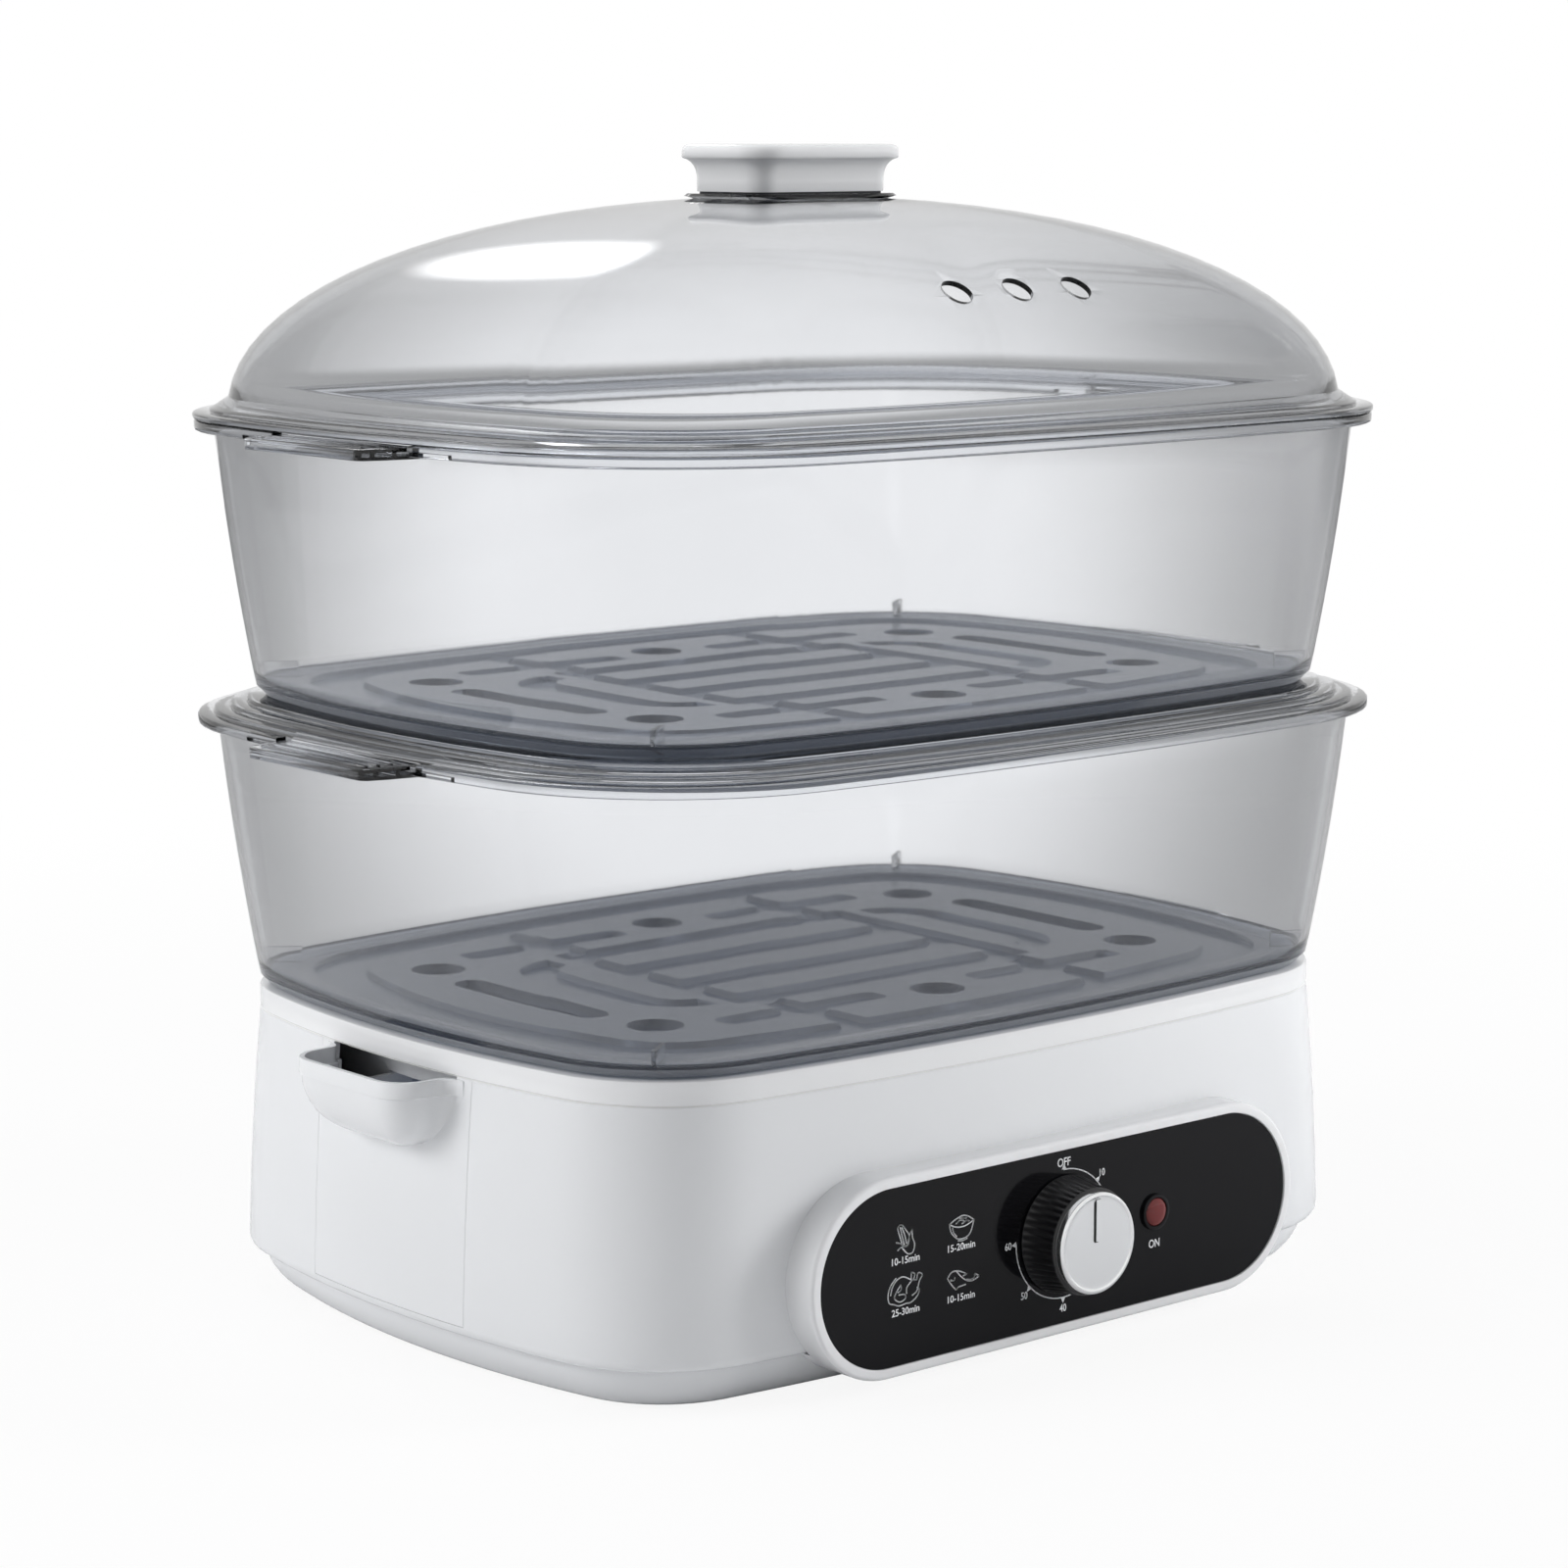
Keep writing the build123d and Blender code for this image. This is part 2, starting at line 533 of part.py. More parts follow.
with BuildPart() as lower_basket:
    loft(basket_sections(0))
    chamfer(lower_basket.faces().sort_by(Axis.Z)[0].edges(), foot_bevel)
    # stepped rim: outer lip, risers and the ledge that the next piece stands on
    slab(rim_plan, basket_foot + lip_low, basket_foot + rim_height)
    for step in range(1, rim_steps + 1):
        outline = rim_plan.inset(step * step_width)
        slab(outline, basket_foot + lip_low, basket_foot + rim_height + step * step_rise)
    with BuildPart(mode=Mode.PRIVATE) as hollow:
        loft(basket_sections(basket_wall))
        first_step = basket_foot + rim_height + step_rise
        slab(wall_top_plan.inset(basket_wall), basket_foot + lip_low, first_step - rim_skin)
        for step in range(2, rim_steps + 1):
            outline = rim_plan.inset(step * step_width + rim_skin)
            slab(outline, basket_foot + lip_low, basket_foot + rim_height + step * step_rise - rim_skin)
        slab(foot_plan, basket_foot - through, basket_foot + floor_plate, mode=Mode.SUBTRACT)
    add(hollow.part, mode=Mode.SUBTRACT)
    # the mouth's lip hangs below the ledge and its collar centres the piece that stands on it
    ledge_top = basket_foot + rim_height + rim_steps * step_rise
    collar_top = basket_foot + basket_pitch + collar_height
    slab(collar_plan, ledge_top - mouth_lip, collar_top)
    slab(collar_inner_plan, basket_foot + floor_plate, collar_top, mode=Mode.SUBTRACT)
    # groove below the floor that goes over such a collar
    with BuildSketch(Plane.XY.offset(basket_foot)):
        add(collar_plan.inset(-collar_gap).at(0))
        add(collar_inner_plan.inset(collar_gap).at(0), mode=Mode.SUBTRACT)
    extrude(amount=collar_height + collar_gap, mode=Mode.SUBTRACT)
    # drainage grooves in the floor
    with BuildSketch(Plane.XY.offset(basket_foot + floor_plate)):
        add(gutter_plan.at(0))
        add(plateau_plan.at(0), mode=Mode.SUBTRACT)
        for sx in (-1, 1):
            with Locations((sx * cross_x, 0)):
                with GridLocations(0, 2 * cross_middle_y, 1, 2):
                    Rectangle(cross_width, cross_length)
            with Locations((sx * cross_x, 0)):
                with GridLocations(0, 2 * cross_y, 1, 2):
                    Rectangle(cross_span, cross_width)
    extrude(amount=-groove_depth, mode=Mode.SUBTRACT)
    with BuildSketch(Plane.XY.offset(basket_foot + floor_plate)):
        Rectangle(2 * ladder_half_x, 2 * ladder_half_y)
        with GridLocations(0, bar_pitch, 1, bar_count):
            Rectangle(bar_length, bar_width, mode=Mode.SUBTRACT)
    extrude(amount=-groove_depth, mode=Mode.SUBTRACT)
    with BuildSketch(Plane.XY.offset(basket_foot + floor_plate)):
        RectangleRounded(2 * channel_outer_x, 2 * channel_outer_y, channel_corner)
        RectangleRounded(2 * channel_inner_x, 2 * channel_inner_y, channel_corner / 2, mode=Mode.SUBTRACT)
        Rectangle(2 * channel_arm_x, 4 * channel_outer_y, mode=Mode.SUBTRACT)
    extrude(amount=-groove_depth, mode=Mode.SUBTRACT)
    # steam holes
    with BuildSketch(Plane.XY.offset(basket_foot)):
        with Locations(*steam_holes):
            Circle(hole_radius)
        with Locations((-side_slot_x, 0), (side_slot_x, 0)):
            SlotOverall(side_slot_length, side_slot_width, rotation=90)
    extrude(amount=floor_plate, mode=Mode.SUBTRACT)
    # a fin in each corner carries a second basket nested inside
    for sx, sy in corners:
        with BuildSketch(Plane.XY.offset(basket_foot + floor_plate)):
            with Locations((sx * fin_x, sy * fin_y)):
                Rectangle(fin_length, fin_wall, rotation=degrees(atan2(sy * fin_y, sx * fin_x)))
        extrude(amount=fin_height)
    # side grips, each in a gap of the rim's lip, hollow below their skin and ridged on top
    for sx in (-1, 1):
        lip_gap = step_width + through
        with BuildSketch(Plane.XY.offset(basket_foot + lip_low)):
            with Locations((sx * (rim_half_x - step_width + lip_gap / 2), 0)):
                Rectangle(lip_gap, 2 * tab_root_half)
        extrude(amount=lip_height, mode=Mode.SUBTRACT)
        with BuildSketch(Plane.XY.offset(basket_foot + tab_top - tab_thickness)) as grip:
            with BuildLine():
                Polyline(
                    (sx * tab_inner_x, tab_root_half),
                    (sx * tab_reach, tab_half_length),
                    (sx * tab_reach, -tab_half_length),
                    (sx * tab_inner_x, -tab_root_half),
                    close=True,
                )
            make_face()
            fillet(sorted(grip.vertices(), key=lambda corner: sx * corner.X)[-2:], tab_corner)
        extrude(amount=tab_thickness)
        cell_x = cells_start
        with BuildSketch(Plane.XZ):
            for share in cell_shares:
                length = cells_length * share
                with Locations((sx * (cell_x + length / 2), basket_foot + tab_top - tab_skin)):
                    Rectangle(length, cell_height, align=(Align.CENTER, Align.MAX))
                cell_x += length + cell_rib
        extrude(amount=tab_root_half, both=True, mode=Mode.SUBTRACT)
        with BuildSketch(Plane.XY.offset(basket_foot + tab_top)):
            for ridge in range(ridge_count):
                with Locations((sx * (rim_half_x + ridge * ridge_pitch), 0)):
                    SlotOverall(2 * (tab_half_length - tab_corner), ridge_width, rotation=90)
        extrude(amount=ridge_height)
lower_basket.part.label = "lower_basket"
export_step(lower_basket.part, "parts/lower_basket.step")

with BuildPart() as upper_basket:
    with Locations((0, 0, basket_pitch)):
        add(lower_basket.part)
upper_basket.part.label = "upper_basket"
export_step(upper_basket.part, "parts/upper_basket.step")


# ---- lid
upper_foot = basket_foot + basket_pitch
flange_low = upper_foot + rim_height + seat_gap
step_clear = upper_foot + rim_height + step_rise + seat_gap
dome_low = flange_low + lid_dome_rise


def dome_sections(depth):
    height = dome_height - depth
    sections = []
    for share in (0.0, 0.2, 0.4, 0.6, 0.76, 0.88, 0.955, 0.99):
        shrink = (1 - share**dome_power) ** (1 / dome_power)
        sections.append(wall_top_plan.inset(depth).scaled(shrink).at(dome_low + height * share))
    return sections


lid_top = dome_low + dome_height
pad_top = lid_top - pad_drop
pad_half_x = grip_half_x - neck_inset + pad_margin
pad_half_y = grip_half_y - neck_inset + pad_margin
screw_seat = pad_top - seat_boss
vent_slope = (0, -sin(radians(vent_tilt)), cos(radians(vent_tilt)))
vent_plane = Plane(origin=(0, -vent_y, lid_top - vent_drop), x_dir=(1, 0, 0), z_dir=vent_slope)

with BuildPart() as lid:
    slab(rim_plan.inset(-lid_overhang), flange_low, flange_low + lid_flange)
    slab(rim_plan.inset(step_width), flange_low, step_clear + lid_wall)
    loft(dome_sections(0))
    with BuildSketch(Plane.XY.offset(pad_top)):
        RectangleRounded(2 * pad_half_x, 2 * pad_half_y, pad_corner)
    extrude(amount=-pad_depth)
    with BuildPart(mode=Mode.PRIVATE) as hollow:
        loft(dome_sections(lid_wall))
    add(hollow.part, mode=Mode.SUBTRACT)
    slab(rim_plan.inset(step_width - seat_gap), flange_low, step_clear, mode=Mode.SUBTRACT)
    # seats for the knob's screws, inside
    with BuildSketch(Plane.XY.offset(screw_seat)):
        with Locations((-knob_screw_x, 0), (knob_screw_x, 0)):
            Circle(boss_radius)
    extrude(amount=seat_boss)
    with BuildSketch(Plane.XY.offset(screw_seat)):
        with Locations((-knob_screw_x, 0), (knob_screw_x, 0)):
            Circle(screw_radius + thread_gap)
    extrude(amount=lid_top - screw_seat, mode=Mode.SUBTRACT)
    # steam vents, square to the slope of the dome
    with BuildSketch(vent_plane):
        with GridLocations(vent_pitch, 0, vent_count, 1):
            Circle(vent_radius)
    extrude(amount=vent_cut, both=True, mode=Mode.SUBTRACT)
lid.part.label = "lid"
export_step(lid.part, "parts/lid.step")

knob_foot = pad_top + washer_thickness
knob_top = knob_foot + knob_height


def grip_section(inset, z):
    with BuildSketch(Plane.XY.offset(z)) as outline:
        RectangleRounded(2 * (grip_half_x - inset), 2 * (grip_half_y - inset), grip_corner - inset)
    return outline.sketch


with BuildPart() as lid_knob:
    # straight neck that flares up to the plate of the grip
    grip_low = knob_top - grip_plate
    neck_height = grip_low - knob_foot
    flare = [grip_section(neck_inset * k, knob_foot + neck_height * share) for k, share in neck_shares]
    extrude(grip_section(neck_inset, knob_foot), amount=neck_height * neck_shares[0][1])
    loft(flare)
    extrude(grip_section(0, grip_low), amount=grip_plate)
    fillet(lid_knob.faces().sort_by(Axis.Z)[-1].edges(), knob_round)
    pocket = grip_section(neck_inset + knob_shell, knob_foot)
    extrude(pocket, amount=knob_height - knob_shell, mode=Mode.SUBTRACT)
    with BuildSketch(Plane.XY.offset(knob_foot)):
        with Locations((-knob_screw_x, 0), (knob_screw_x, 0)):
            Circle(boss_radius)
    extrude(amount=knob_height - knob_shell)
    with BuildSketch(Plane.XY.offset(knob_foot)):
        with Locations((-knob_screw_x, 0), (knob_screw_x, 0)):
            Circle(screw_radius)
    extrude(amount=knob_bore, mode=Mode.SUBTRACT)
lid_knob.part.label = "lid_knob"
export_step(lid_knob.part, "parts/lid_knob.step")

with BuildPart() as lid_knob_washer:
    extrude(grip_section(neck_inset + washer_margin, pad_top), amount=washer_thickness)
    with BuildSketch(Plane.XY.offset(pad_top)):
        with Locations((-knob_screw_x, 0), (knob_screw_x, 0)):
            Circle(screw_radius + thread_gap)
    extrude(amount=washer_thickness, mode=Mode.SUBTRACT)
lid_knob_washer.part.label = "lid_knob_washer"
export_step(lid_knob_washer.part, "parts/lid_knob_washer.step")

with BuildPart() as lid_knob_screws:
    for sx in (-1, 1):
        screw(sx * knob_screw_x, 0, screw_seat, knob_foot + knob_bite - screw_seat)
lid_knob_screws.part.label = "lid_knob_screws"
export_step(lid_knob_screws.part, "parts/lid_knob_screws.step")


# ---- control panel
def panel_stadium(half_length, half_height, distance):
    with BuildSketch(front_plane(distance)) as outline:
        with Locations((0, panel_z)):
            SlotOverall(2 * half_length, 2 * half_height)
    return outline.sketch


fascia_back = panel_face - fascia_thickness

with BuildPart() as panel_bezel:
    blank = panel_stadium(panel_half_length, panel_half_height, panel_root)
    extrude(blank, amount=panel_depth + bezel_proud)
    fillet(panel_bezel.faces().sort_by(Axis.Y)[0].edges(), bezel_round)
    opening = panel_stadium(fascia_half_length + fascia_gap, fascia_half_height + fascia_gap, fascia_back)
    extrude(opening, amount=fascia_thickness + bezel_proud, mode=Mode.SUBTRACT)
    pocket = panel_stadium(panel_half_length - bezel_wall, panel_half_height - bezel_wall, panel_root)
    extrude(pocket, amount=fascia_back - bezel_wall - panel_root, mode=Mode.SUBTRACT)
    add(housing_outer.part, mode=Mode.SUBTRACT)
    add(cover_outer.part, mode=Mode.SUBTRACT)
    with BuildSketch(front_plane(panel_root)):
        with Locations((0, panel_z)):
            Circle(bush_radius + bush_clearance)
        with Locations((lamp_x, panel_z)):
            Circle(lamp_radius)
    extrude(amount=panel_depth, mode=Mode.SUBTRACT)
panel_bezel.part.label = "panel_bezel"
export_step(panel_bezel.part, "parts/panel_bezel.step")

with BuildPart() as panel_fascia:
    extrude(panel_stadium(fascia_half_length, fascia_half_height, fascia_back), amount=fascia_thickness)
    with BuildSketch(front_plane(fascia_back)):
        with Locations((0, panel_z)):
            Circle(bush_radius + bush_clearance)
        with Locations((lamp_x, panel_z)):
            Circle(lamp_radius)
    extrude(amount=fascia_thickness, mode=Mode.SUBTRACT)
panel_fascia.part.label = "panel_fascia"
export_step(panel_fascia.part, "parts/panel_fascia.step")


# ---- timer: case with its bush, bracket, screws, bell, shaft, and the knob in front of the panel
def front_circle(x, z, radius, distance):
    with BuildSketch(front_plane(distance)) as outline:
        with Locations((x, z)):
            Circle(radius)
    return outline.sketch


def shaft_profile(radius, distance):
    # round with one flat on its upper side
    with BuildSketch(front_plane(distance)) as outline:
        with Locations((0, panel_z)):
            Circle(radius)
        with Locations((0, panel_z + shaft_flat)):
            Rectangle(2 * radius, 2 * radius, align=(Align.CENTER, Align.MIN), mode=Mode.SUBTRACT)
    return outline.sketch


knob_root = panel_face + knob_gap
knob_front = knob_root + knob_length
shaft_front = knob_front - cap_thickness
bush_front = panel_face + bush_proud
timer_back = timer_front - timer_depth
blade_y = -timer_back - blade_z

with BuildPart() as timer_case:
    with BuildSketch(front_plane(timer_back)):
        with Locations((0, panel_z)):
            RectangleRounded(timer_width, timer_width, timer_corner)
    extrude(amount=timer_depth)
    extrude(front_circle(0, panel_z, bush_radius, timer_front), amount=bush_front - timer_front)
    bore_root = timer_front - shaft_tail - shaft_end
    bore = front_circle(0, panel_z, shaft_radius + shaft_clearance, bore_root)
    extrude(bore, amount=bush_front - bore_root, mode=Mode.SUBTRACT)
    # blade terminals on the left side of the case
    with BuildSketch(Plane.YZ.offset(-timer_width / 2)):
        with Locations((blade_y, panel_z - blade_z), (blade_y, panel_z + blade_z)):
            Rectangle(blade_sheet, blade_width)
    extrude(amount=-blade_length)
timer_case.part.label = "timer_case"
export_step(timer_case.part, "parts/timer_case.step")

with BuildPart() as timer_bracket:
    with BuildSketch(front_plane(timer_front)):
        with Locations((0, panel_z)):
            RectangleRounded(2 * bracket_half_x, 2 * bracket_half_z, bracket_corner)
            Circle(bush_radius + thread_gap, mode=Mode.SUBTRACT)
        with Locations(*bracket_screws):
            Circle(screw_radius + thread_gap, mode=Mode.SUBTRACT)
    extrude(amount=bracket_thickness)
timer_bracket.part.label = "timer_bracket"
export_step(timer_bracket.part, "parts/timer_bracket.step")

with BuildPart() as timer_screws:
    for x, z in bracket_screws:
        extrude(front_circle(x, z, screw_head_radius, timer_front - screw_head), amount=screw_head)
        shank = front_circle(x, z, screw_radius - thread_gap, timer_front)
        extrude(shank, amount=bracket_thickness + short_bite)
timer_screws.part.label = "timer_screws"
export_step(timer_screws.part, "parts/timer_screws.step")

with BuildPart() as timer_bell:
    # cup on a short post behind the case
    bell_back = timer_back - bell_height
    extrude(front_circle(0, panel_z, bell_radius, bell_back), amount=bell_height - bell_gap)
    chamfer(timer_bell.faces().sort_by(Axis.Y)[-1].edges(), bell_chamfer)
    cup = front_circle(0, panel_z, bell_radius - bell_sheet, bell_back + bell_sheet)
    extrude(cup, amount=bell_height - bell_gap - bell_sheet, mode=Mode.SUBTRACT)
    extrude(front_circle(0, panel_z, bell_post, bell_back), amount=bell_height)
timer_bell.part.label = "timer_bell"
export_step(timer_bell.part, "parts/timer_bell.step")

with BuildPart() as timer_shaft:
    round_front = bush_front + shaft_end
    start = timer_front - shaft_tail
    extrude(front_circle(0, panel_z, shaft_radius, start), amount=round_front - start)
    extrude(shaft_profile(shaft_radius, round_front), amount=shaft_front - round_front)
timer_shaft.part.label = "timer_shaft"
export_step(timer_shaft.part, "parts/timer_shaft.step")

with BuildPart() as timer_knob:
    tip = front_circle(0, panel_z, knob_tip_radius, knob_front)
    loft([front_circle(0, panel_z, knob_base_radius, knob_root), tip])
    # flutes of the grip, leaning with the taper
    lean = degrees(atan2(knob_base_radius - knob_tip_radius, knob_length))
    with BuildPart(mode=Mode.PRIVATE) as flute:
        centre = Plane(
            origin=(0, -knob_root, panel_z + knob_base_radius + flute_offset),
            x_dir=(1, 0, 0),
            z_dir=(0, -cos(radians(lean)), -sin(radians(lean))),
        )
        with BuildSketch(centre):
            Circle(flute_depth + flute_offset)
        extrude(amount=knob_length + through, both=True)
    knob_axis = Axis((0, 0, panel_z), (0, 1, 0))
    for count in range(flute_count):
        add(flute.part.rotate(knob_axis, count * 360 / flute_count), mode=Mode.SUBTRACT)
    inside = front_circle(0, panel_z, knob_tip_radius - knob_wall, knob_front - knob_wall - cap_seat)
    loft([front_circle(0, panel_z, knob_base_radius - knob_wall, knob_root), inside], mode=Mode.SUBTRACT)
    hub_root = round_front + hub_gap
    extrude(front_circle(0, panel_z, hub_radius, hub_root), amount=knob_front - cap_seat - hub_root)
    seat = front_circle(0, panel_z, cap_radius - cap_step, knob_front - cap_seat)
    extrude(seat, amount=cap_seat, mode=Mode.SUBTRACT)
    extrude(shaft_profile(shaft_radius, round_front), amount=shaft_front - round_front, mode=Mode.SUBTRACT)
timer_knob.part.label = "timer_knob"
export_step(timer_knob.part, "parts/timer_knob.step")

cap_front = knob_front + cap_thickness

with BuildPart() as timer_knob_cap:
    extrude(front_circle(0, panel_z, cap_radius, knob_front), amount=cap_thickness)
    fillet(timer_knob_cap.faces().sort_by(Axis.Y)[0].edges(), cap_round)
    dish = front_circle(0, panel_z, cap_radius - cap_rim, cap_front - cap_dish)
    extrude(dish, amount=cap_dish, mode=Mode.SUBTRACT)
    spigot = front_circle(0, panel_z, cap_radius - cap_step - thread_gap, knob_front - cap_seat)
    extrude(spigot, amount=cap_seat)
timer_knob_cap.part.label = "timer_knob_cap"
export_step(timer_knob_cap.part, "parts/timer_knob_cap.step")

with BuildPart() as knob_pointer:
    with BuildSketch(front_plane(cap_front - cap_dish)):
        with Locations((0, panel_z + pointer_start)):
            Rectangle(pointer_width, pointer_length, align=(Align.CENTER, Align.MIN))
    extrude(amount=pointer_height)
knob_pointer.part.label = "knob_pointer"
export_step(knob_pointer.part, "parts/knob_pointer.step")


# ---- indicator lamp
with BuildPart() as lamp_ring:
    extrude(front_circle(lamp_x, panel_z, lamp_radius - thread_gap, lamp_root), amount=lamp_length)
    extrude(front_circle(lamp_x, panel_z, lamp_flange, panel_face), amount=lamp_proud)
    fillet(lamp_ring.faces().sort_by(Axis.Y)[0].edges(), lamp_round)
    neon_hole = front_circle(lamp_x, panel_z, neon_radius + thread_gap, lamp_root)
    extrude(neon_hole, amount=lamp_length + lamp_proud, mode=Mode.SUBTRACT)
    lens_hole = front_circle(lamp_x, panel_z, lens_radius + thread_gap, panel_face - lens_depth)
    extrude(lens_hole, amount=lens_depth + lamp_proud, mode=Mode.SUBTRACT)
lamp_ring.part.label = "lamp_ring"
export_step(lamp_ring.part, "parts/lamp_ring.step")

with BuildPart() as lamp_lens:
    lens = front_circle(lamp_x, panel_z, lens_radius, panel_face - lens_depth)
    extrude(lens, amount=lens_depth + lamp_proud + lens_proud)
    fillet(lamp_lens.faces().sort_by(Axis.Y)[0].edges(), lens_round)
lamp_lens.part.label = "lamp_lens"
export_step(lamp_lens.part, "parts/lamp_lens.step")

with BuildPart() as neon_lamp:
    neon_front = panel_face - lens_depth - neon_gap
    extrude(front_circle(lamp_x, panel_z, neon_radius, neon_front - neon_length), amount=neon_length)
    with BuildSketch(front_plane(neon_front - neon_length)):
        with Locations((lamp_x - pin_x, panel_z), (lamp_x + pin_x, panel_z)):
            Rectangle(blade_sheet, pin_width)
    extrude(amount=-blade_length)
neon_lamp.part.label = "neon_lamp"
export_step(neon_lamp.part, "parts/neon_lamp.step")


# ---- heater in the tank floor
def disc(radius, low, high, mode=Mode.ADD, x=0.0, y=0.0):
    with BuildSketch(Plane.XY.offset(low)) as outline:
        with Locations((x, y)):
            Circle(radius)
    extrude(outline.sketch, amount=high - low, mode=mode)


def ring_disc(outer, inner, low, high):
    disc(outer, low, high)
    disc(inner, low, high, mode=Mode.SUBTRACT)


seal_low = seal_top - seal_thickness
flange_bottom = seal_low - heater_sheet
plate_top = tank_floor + heater_rise
plate_bottom = plate_top - heater_sheet

with BuildPart() as heater_plate:
    disc(heater_flange, flange_bottom, seal_low)
    disc(heater_radius, flange_bottom, plate_top)
    fillet(heater_plate.faces().sort_by(Axis.Z)[-1].edges(), heater_round)
    disc(heater_radius - heater_sheet, flange_bottom, plate_bottom, mode=Mode.SUBTRACT)
heater_plate.part.label = "heater_plate"
export_step(heater_plate.part, "parts/heater_plate.step")

with BuildPart() as heater_element:
    # an open ring against the plate, both ends turned down
    element_z = plate_bottom - element_tube
    end_x = element_ring * sin(radians(element_gap / 2))
    end_y = element_ring * cos(radians(element_gap / 2))
    with BuildLine() as ring:
        ThreePointArc((-end_x, end_y, element_z), (0, -element_ring, element_z), (end_x, end_y, element_z))
    with BuildSketch(Plane(origin=ring.line @ 0, z_dir=ring.line % 0)):
        Circle(element_tube)
    sweep()
    for x, y in ((-end_x, end_y), (end_x, end_y)):
        with Locations((x, y, element_z)):
            Sphere(element_tube)
        disc(element_tube, element_z - element_drop, element_z, x=x, y=y)
heater_element.part.label = "heater_element"
export_step(heater_element.part, "parts/heater_element.step")

with BuildPart() as heater_seal:
    ring_disc(heater_flange, heater_radius + web, seal_low, seal_top)
heater_seal.part.label = "heater_seal"
export_step(heater_seal.part, "parts/heater_seal.step")

clamp_low = flange_bottom - clamp_sheet
with BuildPart() as heater_clamp:
    ring_disc(clamp_ring, heater_radius + clamp_margin, clamp_low, flange_bottom)
    for x, y in clamp_spots:
        disc(screw_radius + thread_gap, clamp_low, flange_bottom, mode=Mode.SUBTRACT, x=x, y=y)
heater_clamp.part.label = "heater_clamp"
export_step(heater_clamp.part, "parts/heater_clamp.step")

with BuildPart() as heater_screws:
    for x, y in clamp_spots:
        screw(x, y, clamp_low, clamp_sheet + short_bite)
heater_screws.part.label = "heater_screws"
export_step(heater_screws.part, "parts/heater_screws.step")

with BuildPart() as steam_sleeve:
    ring_disc(sleeve_radius, sleeve_radius - sleeve_wall, tank_floor, tank_floor + sleeve_height)
    # three gaps at the foot let the water in
    for turn in (30, 150, 270):
        with BuildSketch(Plane.XY.offset(tank_floor)):
            gap_length = sleeve_radius + through
            Rectangle(gap_length, sleeve_gap_width, rotation=turn, align=(Align.MIN, Align.CENTER))
        extrude(amount=sleeve_gap_height, mode=Mode.SUBTRACT)
steam_sleeve.part.label = "steam_sleeve"
export_step(steam_sleeve.part, "parts/steam_sleeve.step")

thermostat_low = plate_bottom - thermostat_height
with BuildPart() as thermostat:
    disc(thermostat_radius, thermostat_low, plate_bottom)
    disc(thermostat_radius + thermostat_flange, plate_bottom - thermostat_sheet, plate_bottom)
    with BuildSketch(Plane.XY.offset(thermostat_low)):
        with Locations((-thermostat_pin, 0), (thermostat_pin, 0)):
            Rectangle(blade_sheet, blade_width)
    extrude(amount=-blade_length)
thermostat.part.label = "thermostat"
export_step(thermostat.part, "parts/thermostat.step")

with BuildPart() as thermal_fuse:
    with BuildSketch(Plane.YZ):
        with Locations((fuse_y, plate_bottom - fuse_radius)):
            Circle(fuse_radius)
    extrude(amount=fuse_length / 2, both=True)
    with BuildSketch(Plane.YZ):
        with Locations((fuse_y, plate_bottom - fuse_radius)):
            Circle(fuse_wire)
    extrude(amount=fuse_length / 2 + fuse_tail, both=True)
thermal_fuse.part.label = "thermal_fuse"
export_step(thermal_fuse.part, "parts/thermal_fuse.step")


# ---- cord entry, terminal block and leads
with BuildPart() as cord_gland:
    with BuildSketch(Plane.XZ.offset(-gland_inner)):
        with Locations((gland_x, gland_z)):
            Circle(gland_radius)
    extrude(amount=-gland_length)
    add(housing_outer.part, mode=Mode.SUBTRACT)
    with BuildSketch(Plane.XZ.offset(-gland_inner)):
        with Locations((gland_x, gland_z)):
            Circle(gland_neck - thread_gap)
    extrude(amount=-(gland_length - gland_lip))
    with BuildSketch(Plane.XZ.offset(-gland_inner)):
        with Locations((gland_x, gland_z)):
            Circle(gland_bore)
    extrude(amount=-gland_length, mode=Mode.SUBTRACT)
cord_gland.part.label = "cord_gland"
export_step(cord_gland.part, "parts/cord_gland.step")

with BuildPart() as terminal_block:
    with Locations((block_at_x, block_at_y, cover_top)):
        Box(block_x, block_y, block_z, align=(Align.CENTER, Align.CENTER, Align.MIN))
    with BuildSketch(Plane.XZ.offset(block_y / 2 - block_at_y)):
        with Locations((block_at_x, cover_top + block_z / 2)):
            with GridLocations(block_pitch, 0, 3, 1):
                Circle(wire_radius + thread_gap)
    extrude(amount=-block_bore, mode=Mode.SUBTRACT)
terminal_block.part.label = "terminal_block"
export_step(terminal_block.part, "parts/terminal_block.step")

block_middle = cover_top + block_z / 2
block_face = block_at_y - block_y / 2
wire_end = block_face + wire_bite
lead_bay = 26.0  # the timer's lead crosses behind the timer at this distance
lead_step = 14.0

with BuildPart() as timer_lead:
    start_x = -timer_width / 2 - blade_length
    start_z = panel_z - blade_z
    lead(
        (start_x, blade_y, start_z),
        (start_x - lead_step, blade_y, start_z),
        (start_x - lead_step, lead_bay - timer_back, start_z),
        (start_x - lead_step, lead_bay - timer_back, block_middle),
        (block_at_x - block_pitch, lead_bay - timer_back, block_middle),
        (block_at_x - block_pitch, wire_end, block_middle),
    )
timer_lead.part.label = "timer_lead"
export_step(timer_lead.part, "parts/timer_lead.step")

